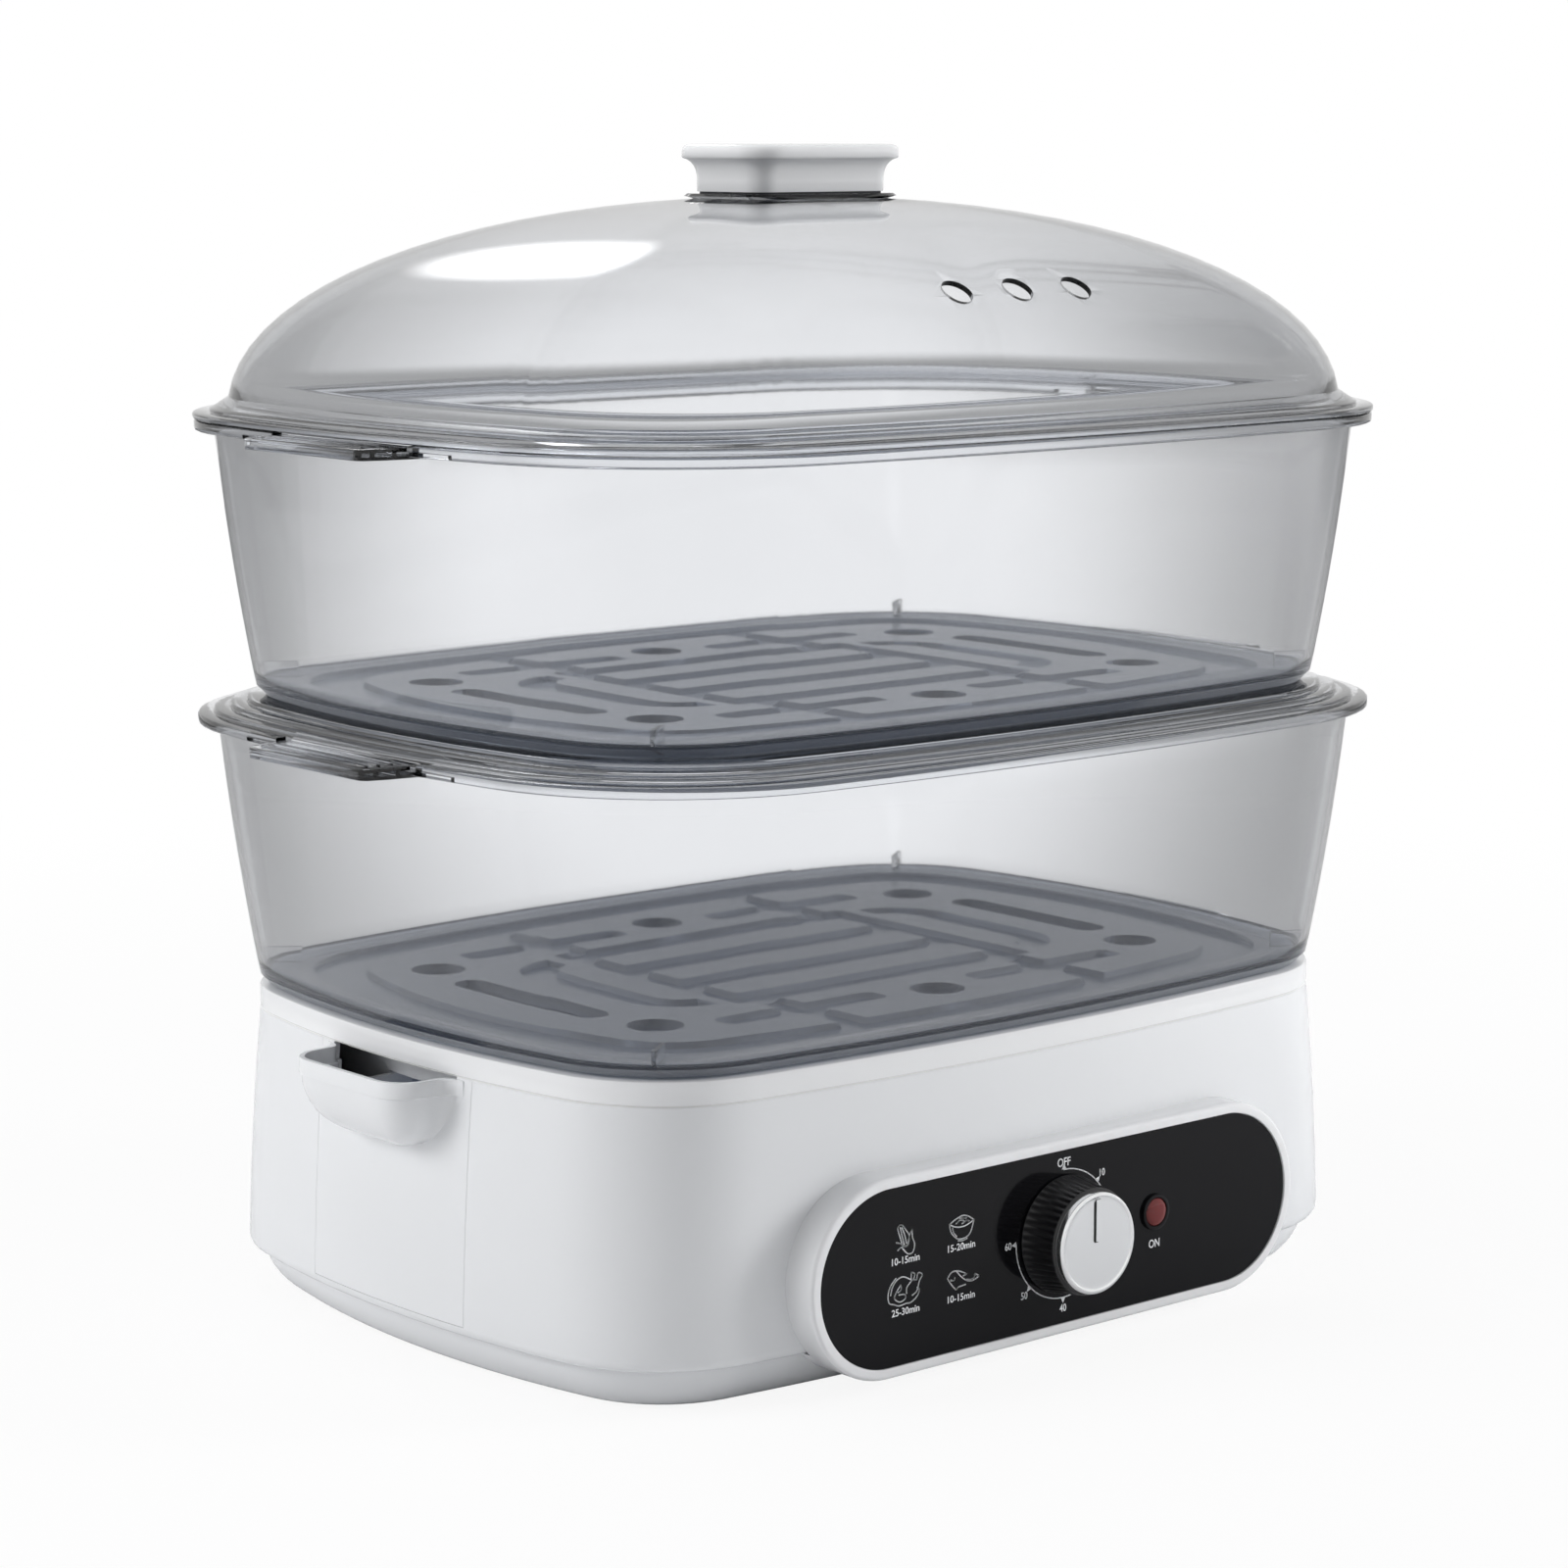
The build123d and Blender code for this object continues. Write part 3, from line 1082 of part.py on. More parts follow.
with BuildPart() as heater_lead:
    end_z = element_z - element_drop
    lead(
        (end_x, end_y, end_z),
        (end_x, end_y, end_z - 1.5 * lead_step),
        (block_at_x, end_y, block_middle),
        (block_at_x, wire_end, block_middle),
    )
heater_lead.part.label = "heater_lead"
export_step(heater_lead.part, "parts/heater_lead.step")

with BuildPart() as lamp_lead:
    pin_y = neon_length - neon_front + blade_length
    lead(
        (lamp_x + pin_x, pin_y, panel_z),
        (lamp_x + pin_x, pin_y + lead_step, panel_z),
        (block_at_x + block_pitch, pin_y + 3 * lead_step, block_middle),
        (block_at_x + block_pitch, wire_end, block_middle),
    )
lamp_lead.part.label = "lamp_lead"
export_step(lamp_lead.part, "parts/lamp_lead.step")
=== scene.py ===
import bpy
import bmesh
import math
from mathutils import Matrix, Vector


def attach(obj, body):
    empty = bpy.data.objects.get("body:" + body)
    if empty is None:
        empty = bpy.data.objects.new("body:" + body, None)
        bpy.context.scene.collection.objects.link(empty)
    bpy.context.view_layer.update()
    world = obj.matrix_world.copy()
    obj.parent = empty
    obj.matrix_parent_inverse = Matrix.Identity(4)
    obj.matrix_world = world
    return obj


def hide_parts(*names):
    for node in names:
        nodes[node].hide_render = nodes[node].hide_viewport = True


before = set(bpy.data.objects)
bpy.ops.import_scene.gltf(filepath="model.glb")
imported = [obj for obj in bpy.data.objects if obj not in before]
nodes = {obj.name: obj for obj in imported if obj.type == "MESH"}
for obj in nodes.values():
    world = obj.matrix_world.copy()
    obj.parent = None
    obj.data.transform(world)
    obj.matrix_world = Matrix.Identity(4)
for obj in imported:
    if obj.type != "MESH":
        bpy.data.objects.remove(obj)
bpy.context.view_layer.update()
mm = 0.001
print("frame loaded,", len(nodes), "nodes")


# small helpers for edit mode

def clearSelection():
    if bpy.context.object and bpy.context.object.mode != "OBJECT":
        bpy.ops.object.mode_set(mode="OBJECT")
    bpy.ops.object.select_all(action="DESELECT")


def only(piece):
    clearSelection()
    piece.select_set(True)
    bpy.context.view_layer.objects.active = piece


def settle(piece, name=None):
    # the place goes into the mesh, the object itself stays at the origin
    only(piece)
    bpy.ops.object.transform_apply(location=True, rotation=True, scale=True)
    if name:
        piece.name = name
        piece.data.name = name
    return piece


def modify(piece, kind, **settings):
    only(piece)
    modifier = piece.modifiers.new(kind, kind)
    for key, value in settings.items():
        setattr(modifier, key, value)
    bpy.ops.object.modifier_apply(modifier=modifier.name)


def roundEdges(piece, width, segments=2, angle=30):
    modify(piece, "BEVEL", width=width * mm, segments=segments, limit_method="ANGLE",
           angle_limit=math.radians(angle), harden_normals=False, use_clamp_overlap=True)


def smooth(piece, angle=35):
    only(piece)
    bpy.ops.object.shade_smooth_by_angle(angle=math.radians(angle))


def cut(piece, *cutters, how="DIFFERENCE"):
    for cutter in cutters:
        modify(piece, "BOOLEAN", operation=how, object=cutter, solver="EXACT")
        bpy.data.objects.remove(cutter)


def joined(name, *parts):
    clearSelection()
    for part in parts:
        part.select_set(True)
    bpy.context.view_layer.objects.active = parts[0]
    bpy.ops.object.join()
    return settle(bpy.context.object, name)


def copyOf(piece, name, move=(0, 0, 0)):
    only(piece)
    bpy.ops.object.duplicate()
    twin = bpy.context.object
    twin.location = Vector(move) * mm
    return settle(twin, name)


def turnOutward(piece):
    only(piece)
    bpy.ops.object.mode_set(mode="EDIT")
    bpy.ops.mesh.select_all(action="SELECT")
    bpy.ops.mesh.remove_doubles(threshold=1e-6)
    bpy.ops.mesh.normals_make_consistent(inside=False)
    bpy.ops.object.mode_set(mode="OBJECT")


# outlines, in millimetres: lists of points that run once round

outlineSteps = {"long": 12, "short": 9, "corner": 12}


def bowedPlan(halfX, halfY, corner, sideBow=17.0, frontBow=11.5):
    # rounded rectangle with four slightly bulging sides
    sideRadius = ((halfY - frontBow) ** 2 + sideBow ** 2) / (2 * sideBow)
    frontRadius = ((halfX - sideBow) ** 2 + frontBow ** 2) / (2 * frontBow)
    sideX, frontY = halfX - sideRadius, halfY - frontRadius
    a, b = sideRadius - corner, frontRadius - corner
    gap = math.hypot(sideX, frontY)
    along = (a * a - b * b + gap * gap) / (2 * gap)
    across = math.sqrt(max(a * a - along * along, 0))
    ux, uy = -sideX / gap, frontY / gap
    cornerX = sideX + ux * along + abs(uy) * across
    cornerY = uy * along + abs(ux) * across
    sideEnd = math.atan2(cornerY, cornerX - sideX)
    frontEnd = math.atan2(cornerX, cornerY - frontY)
    quarter = []
    for step in range(outlineSteps["short"]):
        turn = sideEnd * step / outlineSteps["short"]
        quarter.append((sideX + sideRadius * math.cos(turn), sideRadius * math.sin(turn)))
    for step in range(outlineSteps["corner"] + 1):
        turn = sideEnd + (math.pi / 2 - frontEnd - sideEnd) * step / outlineSteps["corner"]
        quarter.append((cornerX + corner * math.cos(turn), cornerY + corner * math.sin(turn)))
    for step in range(1, outlineSteps["long"]):
        turn = frontEnd * (1 - step / outlineSteps["long"])
        quarter.append((frontRadius * math.sin(turn), frontY + frontRadius * math.cos(turn)))
    left = [(-x, y) for x, y in reversed(quarter[1:])]
    top = quarter + [(0, halfY)] + left + [(-halfX, 0)]
    return top + [(x, -y) for x, y in reversed(top[1:-1])]


def pillPlan(halfX, halfY, corner=None, steps=16):
    # straight-sided rounded rectangle, a stadium when the corner is half its height
    corner = min(halfX, halfY) if corner is None else corner
    points = []
    for quadrant, (sx, sy) in enumerate(((1, 1), (-1, 1), (-1, -1), (1, -1))):
        for step in range(steps + 1):
            turn = (quadrant + step / steps) * math.pi / 2
            points.append((sx * (halfX - corner) + corner * math.cos(turn),
                           sy * (halfY - corner) + corner * math.sin(turn)))
    return [p for i, p in enumerate(points) if math.dist(p, points[i - 1]) > 1e-4]


def roundPlan(radius, steps=64):
    return [(radius * math.cos(2 * math.pi * i / steps), radius * math.sin(2 * math.pi * i / steps))
            for i in range(steps)]


class Plan:
    # half length, half width and corner of a bowed outline
    def __init__(self, halfX, halfY, corner, sideBow=17.0, frontBow=11.5):
        self.size = (halfX, halfY, corner)
        self.bows = (sideBow, frontBow)

    def inset(self, depth):
        return Plan(*[value - depth for value in self.size], *self.bows)

    def cornered(self, corner):
        return Plan(*self.size[:2], corner, *self.bows)

    def scaled(self, factor):
        return Plan(*[value * factor for value in self.size + self.bows])

    def towards(self, other, share, bulge=0):
        mixed = [a * (1 - share) + b * share + bulge for a, b in zip(self.size, other.size)]
        return Plan(*mixed, *self.bows)

    def points(self):
        return bowedPlan(*self.size, *self.bows)


def byAngle(items, place):
    # sorted once round their own middle
    spots = [place(item) for item in items]
    cx, cy = sum(p[0] for p in spots) / len(spots), sum(p[1] for p in spots) / len(spots)
    turns = [(math.atan2(y - cy, x - cx) + 0.001) % (2 * math.pi) for x, y in spots]
    return [items[i] for i in sorted(range(len(items)), key=turns.__getitem__)]


def laidRing(piece, points, z):
    # puts the selected ring of vertices on the outline, in order of angle
    mesh = bmesh.from_edit_mesh(piece.data)
    ring = byAngle([v for v in mesh.verts if v.select], lambda v: (v.co.x, v.co.y))
    for vertex, (x, y) in zip(ring, byAngle(points, lambda p: p)):
        vertex.co = (x * mm, y * mm, z * mm)
    bmesh.update_edit_mesh(piece.data)


def wrapped(name, rings, shut="none"):
    # a circle is extruded ring by ring; shut: none, ends, or loop for a closed wall
    rings = [(r[0].points() if isinstance(r[0], Plan) else r[0], r[1]) for r in rings]
    clearSelection()
    bpy.ops.mesh.primitive_circle_add(vertices=len(rings[0][0]), radius=0.1)
    piece = bpy.context.object
    bpy.ops.object.mode_set(mode="EDIT")
    bpy.ops.mesh.select_mode(type="VERT")
    laidRing(piece, *rings[0])
    if shut == "ends":
        bpy.ops.mesh.edge_face_add()
    for points, z in rings[1:] + (rings[:1] if shut == "loop" else []):
        bpy.ops.mesh.extrude_edges_move() if shut != "ends" else bpy.ops.mesh.extrude_region_move()
        laidRing(piece, points, z)
    bpy.ops.mesh.select_all(action="SELECT")
    bpy.ops.mesh.remove_doubles(threshold=1e-7)
    bpy.ops.mesh.normals_make_consistent(inside=False)
    bpy.ops.object.mode_set(mode="OBJECT")
    piece.name = piece.data.name = name
    return piece


def insets(*rows):
    # rings from rows of outline, inset and height
    return [(plan.inset(depth), z) for plan, depth, z in rows]


def discs(steps, *rows):
    # rings from rows of radius and height
    return [(roundPlan(radius, steps), z) for radius, z in rows]


def block(points, low, high, name="block"):
    return wrapped(name, [(points, low), (points, high)], shut="ends")


def shifted(points, x=0.0, y=0.0, turn=0.0):
    c, s = math.cos(math.radians(turn)), math.sin(math.radians(turn))
    return [(x + c * px - s * py, y + s * px + c * py) for px, py in points]


# shader maths as Python expressions

class Wire:
    # one output socket; arithmetic on it adds Math nodes
    def __init__(self, tree, socket):
        self.tree, self.socket = tree, socket

    def add(self, kind, settings=None, sockets=None):
        node = self.tree.nodes.new("ShaderNode" + kind)
        for key, value in (settings or {}).items():
            setattr(node, key, value)
        for key, value in (sockets or {}).items():
            if isinstance(value, Wire):
                self.tree.links.new(value.socket, node.inputs[key])
            else:
                node.inputs[key].default_value = value
        return Wire(self.tree, next(s for s in node.outputs if s.enabled))

    def pick(self, name):
        return Wire(self.tree, self.socket.node.outputs[name])

    def maths(self, operation, *values):
        return self.add("Math", {"operation": operation}, dict(enumerate(values)))

    def __add__(self, other):
        return self.maths("ADD", self, other)

    def __sub__(self, other):
        return self.maths("SUBTRACT", self, other)

    def __rsub__(self, other):
        return self.maths("SUBTRACT", other, self)

    def __mul__(self, other):
        return self.maths("MULTIPLY", self, other)

    def root(self):
        return self.maths("SQRT", self)

    __radd__ = __add__
    __rmul__ = __mul__


def newFinish(name):
    # an empty material, its object coordinates and its output
    material = bpy.data.materials.new(name)
    material.use_nodes = True
    tree = material.node_tree
    tree.nodes.clear()
    output = tree.nodes.new("ShaderNodeOutputMaterial")
    start = Wire(tree, None)
    place = start.add("TexCoord").pick("Object")
    return material, tree, output, place


def grain(place, scale, detail):
    return place.add("TexNoise", None, {"Vector": place, "Scale": scale, "Detail": detail})


def mixed(share, first, second):
    # colours blended by a share
    node = share.add("Mix", {"data_type": "RGBA"}, {0: share})
    tree = share.tree
    mix = node.socket.node
    for index, colour in ((6, first), (7, second)):
        if isinstance(colour, Wire):
            tree.links.new(colour.socket, mix.inputs[index])
        else:
            mix.inputs[index].default_value = (*colour, 1)
    return Wire(tree, mix.outputs[2])


def plastic(name, colour, rough, texture=900, bump=0.02, spread=0.06, patch=6, coat=0.0, metal=0.0,
            specular=0.5):
    # moulded surface: faint patches of tone, fine grain in the gloss and in the relief
    material, tree, output, place = newFinish(name)
    tone = grain(place, patch, 3)
    fine = grain(place, texture, 2)
    shade = [max(c * (1 - spread), 0) for c in colour]
    light = [min(c * (1 + spread), 1) for c in colour]
    relief = place.add("Bump", None, {"Strength": bump, "Distance": 0.0002, "Height": fine})
    sockets = {"Base Color": mixed(tone, shade, light), "Roughness": rough * (0.9 + 0.2 * fine),
               "Metallic": metal, "Normal": relief, "Coat Weight": coat, "Specular IOR Level": specular}
    shader = place.add("BsdfPrincipled", None, sockets)
    tree.links.new(shader.socket, output.inputs["Surface"])
    return material


def clearPlastic(name, tint, rough, density, haze=0.0, texture=300, bump=0.01, absorb=(0.42, 0.47, 0.56)):
    # tinted clear moulding that lets lamp light through and darkens with its thickness
    material, tree, output, place = newFinish(name)
    fine = grain(place, texture, 2)
    wave = grain(place, 22, 1)
    height = 0.7 * wave + 0.3 * fine
    relief = place.add("Bump", None, {"Strength": bump, "Distance": 0.0004, "Height": height})
    shader = place.add("BsdfPrincipled", None, {
        "Base Color": mixed(wave, [t * 0.98 for t in tint], tint), "Roughness": rough * (0.8 + 0.4 * fine),
        "Transmission Weight": 1.0 - haze, "IOR": 1.5, "Normal": relief})
    passing = place.add("BsdfTransparent", None, {"Color": (*[t * 0.97 for t in tint], 1)})
    rays = place.add("LightPath")
    mix = place.add("MixShader", None, {0: rays.pick("Is Shadow Ray"), 1: shader, 2: passing})
    tree.links.new(mix.socket, output.inputs["Surface"])
    if density:
        volume = place.add("VolumeAbsorption", None, {"Color": (*absorb, 1), "Density": density})
        tree.links.new(volume.socket, output.inputs["Volume"])
    return material


finish = {
    "shell": plastic("glossyWhite", (0.80, 0.81, 0.825), 0.2, bump=0.03, spread=0.012, coat=0.25),
    "frameWhite": plastic("frameWhite", (0.84, 0.845, 0.855), 0.17, bump=0.02, spread=0.01, coat=0.3),
    "insideWhite": plastic("insideWhite", (0.74, 0.75, 0.76), 0.42, bump=0.08, spread=0.02),
    "smoky": clearPlastic("smokyClear", (0.975, 0.98, 0.99), 0.03, 27),
    # floor copy of the smoky plastic: its haze and grain are real texture, its darker tint and denser
    # absorption are painted shade
    "hazyFloorPaintedShade": clearPlastic("hazyFloorPaintedShade", (0.58, 0.61, 0.66), 0.16, 90, haze=0.26, texture=700, bump=0.05),
    "smokyTray": clearPlastic("smokyTray", (0.86, 0.87, 0.90), 0.1, 40, haze=0.05, texture=500, bump=0.03),
    "lidClear": clearPlastic("lidClear", (0.96, 0.965, 0.975), 0.03, 26),
    "fascia": plastic("blackGloss", (0.005, 0.005, 0.006), 0.1, bump=0.01, spread=0.3, specular=0.16),
    "print": plastic("whitePrint", (0.80, 0.81, 0.82), 0.5, bump=0.05, spread=0.03),
    "ribbed": plastic("satinBlack", (0.009, 0.009, 0.010), 0.3, bump=0.12, spread=0.3),
    # lighter grey for the ring at the timer knob's root: a painted highlight of its edge
    "knobRootHighlight": plastic("knobRootHighlight", (0.10, 0.10, 0.105), 0.25, bump=0.03, spread=0.1),
    "cap": plastic("satinSilver", (0.80, 0.81, 0.82), 0.34, texture=1400, bump=0.06, spread=0.02, metal=0.85),
    "capRim": plastic("brightRim", (0.88, 0.885, 0.89), 0.14, bump=0.01, spread=0.02, metal=1.0),
    "lens": clearPlastic("redLens", (0.30, 0.012, 0.010), 0.05, 0, haze=0.45, texture=260, bump=0.5),
    "rubber": plastic("darkRubber", (0.022, 0.022, 0.024), 0.75, texture=1200, bump=0.3, spread=0.2),
    "steel": plastic("zincSteel", (0.60, 0.60, 0.61), 0.35, texture=700, bump=0.1, spread=0.08, metal=1.0),
    "aluminium": plastic("castAluminium", (0.66, 0.67, 0.68), 0.42, texture=420, bump=0.25, metal=1.0),
    "sheath": plastic("heatedSheath", (0.24, 0.20, 0.17), 0.4, texture=500, bump=0.15, spread=0.35, patch=60,
                      metal=1.0),
    "silicone": plastic("silicone", (0.72, 0.72, 0.70), 0.6, texture=800, bump=0.1, spread=0.03),
    "ceramic": plastic("ceramic", (0.80, 0.78, 0.73), 0.55, texture=600, bump=0.2, spread=0.05),
    "natural": plastic("naturalPlastic", (0.78, 0.77, 0.71), 0.45, bump=0.06, spread=0.03),
    "blueWire": plastic("blueWire", (0.03, 0.10, 0.42), 0.4, bump=0.05, spread=0.08),
    "brownWire": plastic("brownWire", (0.16, 0.07, 0.03), 0.4, bump=0.05, spread=0.08),
    "lampGlass": clearPlastic("lampGlass", (0.95, 0.80, 0.70), 0.05, 0),
}
print("finishes ready")


def wear(piece, *names):
    piece.data.materials.clear()
    for name in names:
        piece.data.materials.append(finish[name])
    return piece


# carried-over inner pieces keep their CAD shape
innerFinish = {
    "steel": ("bottom_screws", "timer_shaft", "timer_bracket", "timer_screws", "timer_bell", "heater_clamp",
              "heater_screws", "thermal_fuse", "lid_knob_screws"),
    "silicone": ("tank_gasket", "heater_seal"), "natural": ("timer_case", "terminal_block"),
    "aluminium": ("heater_plate",), "sheath": ("heater_element",), "insideWhite": ("steam_sleeve",),
    "ceramic": ("thermostat",), "ribbed": ("cord_gland",), "rubber": ("lid_knob_washer",),
    "lampGlass": ("neon_lamp",), "blueWire": ("timer_lead", "lamp_lead"), "brownWire": ("heater_lead",),
}
for look, names in innerFinish.items():
    for name in names:
        wear(nodes[name], look)

# shared outlines of the body
body = {
    "topEdge": Plan(180, 134.3, 53), "footEdge": Plan(184.6, 137.8, 55), "rim": Plan(200, 157.2, 84),
    "housingLow": 15.0, "housingHigh": 103.0, "wall": 2.5, "bulge": 0.7, "edge": 4.0,
    "seam": 103.3, "tankTop": 111.5, "tankWall": 2.2, "basketFoot": 111.8, "pitch": 105.0,
}
mouth = body["topEdge"].inset(9)
coverEdge = body["footEdge"].inset(5.2)


def housingPlan(z, depth=0.0):
    share = (z - body["housingLow"]) / (body["housingHigh"] - body["housingLow"])
    bulge = body["bulge"] * 4 * share * (1 - share)
    return body["footEdge"].towards(body["topEdge"], share, bulge).inset(depth)


def housingRings(depth, low, high, steps=8):
    levels = [low + (high - low) * i / steps for i in range(steps + 1)]
    return [(housingPlan(z, depth), z) for z in levels]


# base housing
low, high, edge = body["housingLow"], body["housingHigh"], body["edge"]
roundFoot = []
for step in range(7):
    turn = math.pi / 2 * step / 6
    z = low + edge * (1 - math.cos(turn))
    roundFoot.append((housingPlan(z, edge * (1 - math.sin(turn))), z))
opening = coverEdge.inset(-0.3)
profile = [(opening, low + 2.5), (opening, low)] + roundFoot + housingRings(0, low + edge, high - 0.5)[1:]
profile += [(housingPlan(high, 0.4), high), (housingPlan(high, 2.5), high)]
profile += list(reversed(housingRings(2.5, low + 2.5, high - 1)))
housingShell = wrapped("housingShell", profile, shut="loop")
plateBlank = copyOf(housingShell, "plateBlank")
insetWide = {"half": 44.0, "low": 19.0, "gap": 0.18}


def sideBox(half, low, high, x0, x1):
    clearSelection()
    bpy.ops.mesh.primitive_cube_add(size=1, location=((x0 + x1) / 2 * mm, 0, (low + high) / 2 * mm),
                                    scale=((x1 - x0) * mm, 2 * half * mm, (high - low) * mm))
    return settle(bpy.context.object)


cut(housingShell, sideBox(insetWide["half"], insetWide["low"], 120, -200, 200))
smooth(wear(housingShell, "shell"))
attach(housingShell, "base")
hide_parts("base_housing")
print("housing made")

# side panels with their water inlets
scoop = {"top": 102.3, "lip": 5.9, "reach": 201.5, "half": 33.0, "corner": 13.0, "depth": 21.0,
         "wall": 2.0, "step": 0.8, "flare": 7.0, "root": 172.0,
         "shares": (0.985, 0.95, 0.9, 0.82, 0.72, 0.6, 0.45, 0.3, 0.15, 0)}
chuteBox = {"outside": (26, 77, 91, 154, 180.2), "inside": (24, 79, 99, 150, 178.5)}  # as sideBox takes them


def scoopPlan(share, depth):
    # half outline of the bowl in plan, then mirrored; it flares where it meets the wall
    shrink = math.sqrt(max(1 - share * share, 0.0004))
    reach = (scoop["reach"] - depth - 180) * shrink
    half = (scoop["half"] - depth) * max(1 - share * share, 0.002) ** 0.3
    flare = (scoop["flare"] - depth) * shrink
    corner = (scoop["corner"] - depth) * shrink
    side = [(scoop["root"], half + flare), (178.0, half + flare)]
    for step in range(7):
        turn = math.pi / 2 * step / 6
        side.append((180 + flare * (1 - math.cos(turn)) - 1.2, half + flare * (1 - math.sin(turn))))
    for step in range(9):
        turn = math.pi / 2 * step / 8
        side.append((180 + reach - corner + corner * math.sin(turn), half - corner + corner * math.cos(turn)))
    side.append((180 + reach, 0.0))
    return side + [(x, -y) for x, y in reversed(side[:-1])]


def stacked(name, rings):
    # rings joined one to the next by bridges, for outlines that aren't round about their middle
    clearSelection()
    mesh = bpy.data.meshes.new(name)
    piece = bpy.data.objects.new(name, mesh)
    bpy.context.scene.collection.objects.link(piece)
    count = len(rings[0][0])
    points = [(x * mm, y * mm, z * mm) for outline, z in rings for x, y in outline]
    faces = [tuple(range(count))[::-1], tuple(range(len(points) - count, len(points)))]
    for level in range(len(rings) - 1):
        for i in range(count):
            a, b = level * count + i, level * count + (i + 1) % count
            faces.append((a, b, b + count, a + count))
    mesh.from_pydata(points, [], faces)
    turnOutward(piece)
    return piece


def scoopBowl(depth, top):
    lipLow = scoop["top"] - scoop["lip"]
    rings = [(scoopPlan(share, scoop["step"] + depth), lipLow - share * (scoop["depth"] - depth))
             for share in scoop["shares"]]
    for inward, z in ((depth, lipLow + 0.3), (depth, top - 0.4), (depth + 0.3, top)):
        rings.append((scoopPlan(0, inward), z))
    return stacked("bowl", rings)


rightPanel = scoopBowl(0, scoop["top"])
innerBlock = wrapped("inner", housingRings(2.5, 17.5, 110), shut="ends")
plate = copyOf(plateBlank, "plate")
gap = insetWide["gap"]
cut(plate, sideBox(insetWide["half"] - gap, insetWide["low"] + gap, 120, 20, 200), how="INTERSECT")
cut(rightPanel, innerBlock)
cut(rightPanel, plate, how="UNION")
chute = sideBox(*chuteBox["outside"])
cut(chute, sideBox(*chuteBox["inside"]))
cut(rightPanel, chute, how="UNION")
cut(rightPanel, scoopBowl(scoop["wall"], 104.0))
smooth(wear(rightPanel, "shell"), 40)
rightPanel.name = rightPanel.data.name = "rightInletPanel"
leftPanel = copyOf(rightPanel, "leftInletPanel")
leftPanel.scale = (-1, 1, 1)
settle(leftPanel)
turnOutward(leftPanel)
for piece, node in ((rightPanel, "right_inlet_panel"), (leftPanel, "left_inlet_panel")):
    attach(piece, "base")
    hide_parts(node)
bpy.data.objects.remove(plateBlank)
print("side panels made")

# bottom cover with its curled skirt, and the feet
skirt = {"foot": 0.6, "curl": 8.4, "corner": 38.0, "bulge": 1.8, "plate": 3.2, "wall": 2.5, "rim": 17.7,
         "vent": (17, 1.5), "ventPitch": 9.0, "ventRow": 30.0}
skirtLow = coverEdge.inset(skirt["curl"]).cornered(skirt["corner"])


def skirtPlan(share, depth=0.0):
    return skirtLow.towards(coverEdge, share, skirt["bulge"] * 4 * share * (1 - share)).inset(depth)


rise = low - skirt["foot"]
outer = [(skirtPlan(0, 1.2), skirt["foot"]), (skirtPlan(0.03, 0.4), skirt["foot"] + 0.3)]
outer += [(skirtPlan(i / 10), skirt["foot"] + rise * i / 10) for i in range(1, 11)]
inner = [(skirtPlan(1 - i / 6, skirt["wall"]), low - (rise - skirt["plate"]) * i / 6) for i in range(7)]
profile = outer + insets((coverEdge, 0, skirt["rim"]), (coverEdge, skirt["wall"], skirt["rim"])) + inner
bottomCover = wrapped("bottomCover", profile, shut="ends")
vents = []
for row in (-1, 1):
    for i in range(-5, 6):
        vent = shifted(pillPlan(*skirt["vent"]), i * skirt["ventPitch"], row * skirt["ventRow"], 90)
        vents.append(block(vent, 1, 6))
cut(bottomCover, joined("ventCutter", *vents))
smooth(wear(bottomCover, "shell"))
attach(bottomCover, "base")
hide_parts("bottom_cover")

footing = {"x": 124, "y": 84, "rings": (
    (7.6, 0.0), (8.4, 0.15), (8.9, 0.6), (9.0, 1.2), (9.0, 2.0), (3.0, 2.0), (3.0, 5.0), (4.0, 5.0),
    (3.4, 6.5))}
feet = []
for sx, sy in ((-1, -1), (1, -1), (1, 1), (-1, 1)):
    foot = wrapped("foot", discs(40, *footing["rings"]), shut="ends")
    foot.location = (sx * footing["x"] * mm, sy * footing["y"] * mm, 0)
    feet.append(foot)
rubberFeet = joined("rubberFeet", *feet)
turnOutward(rubberFeet)
smooth(wear(rubberFeet, "rubber"))
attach(rubberFeet, "base")
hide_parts("rubber_feet")
print("bottom made")

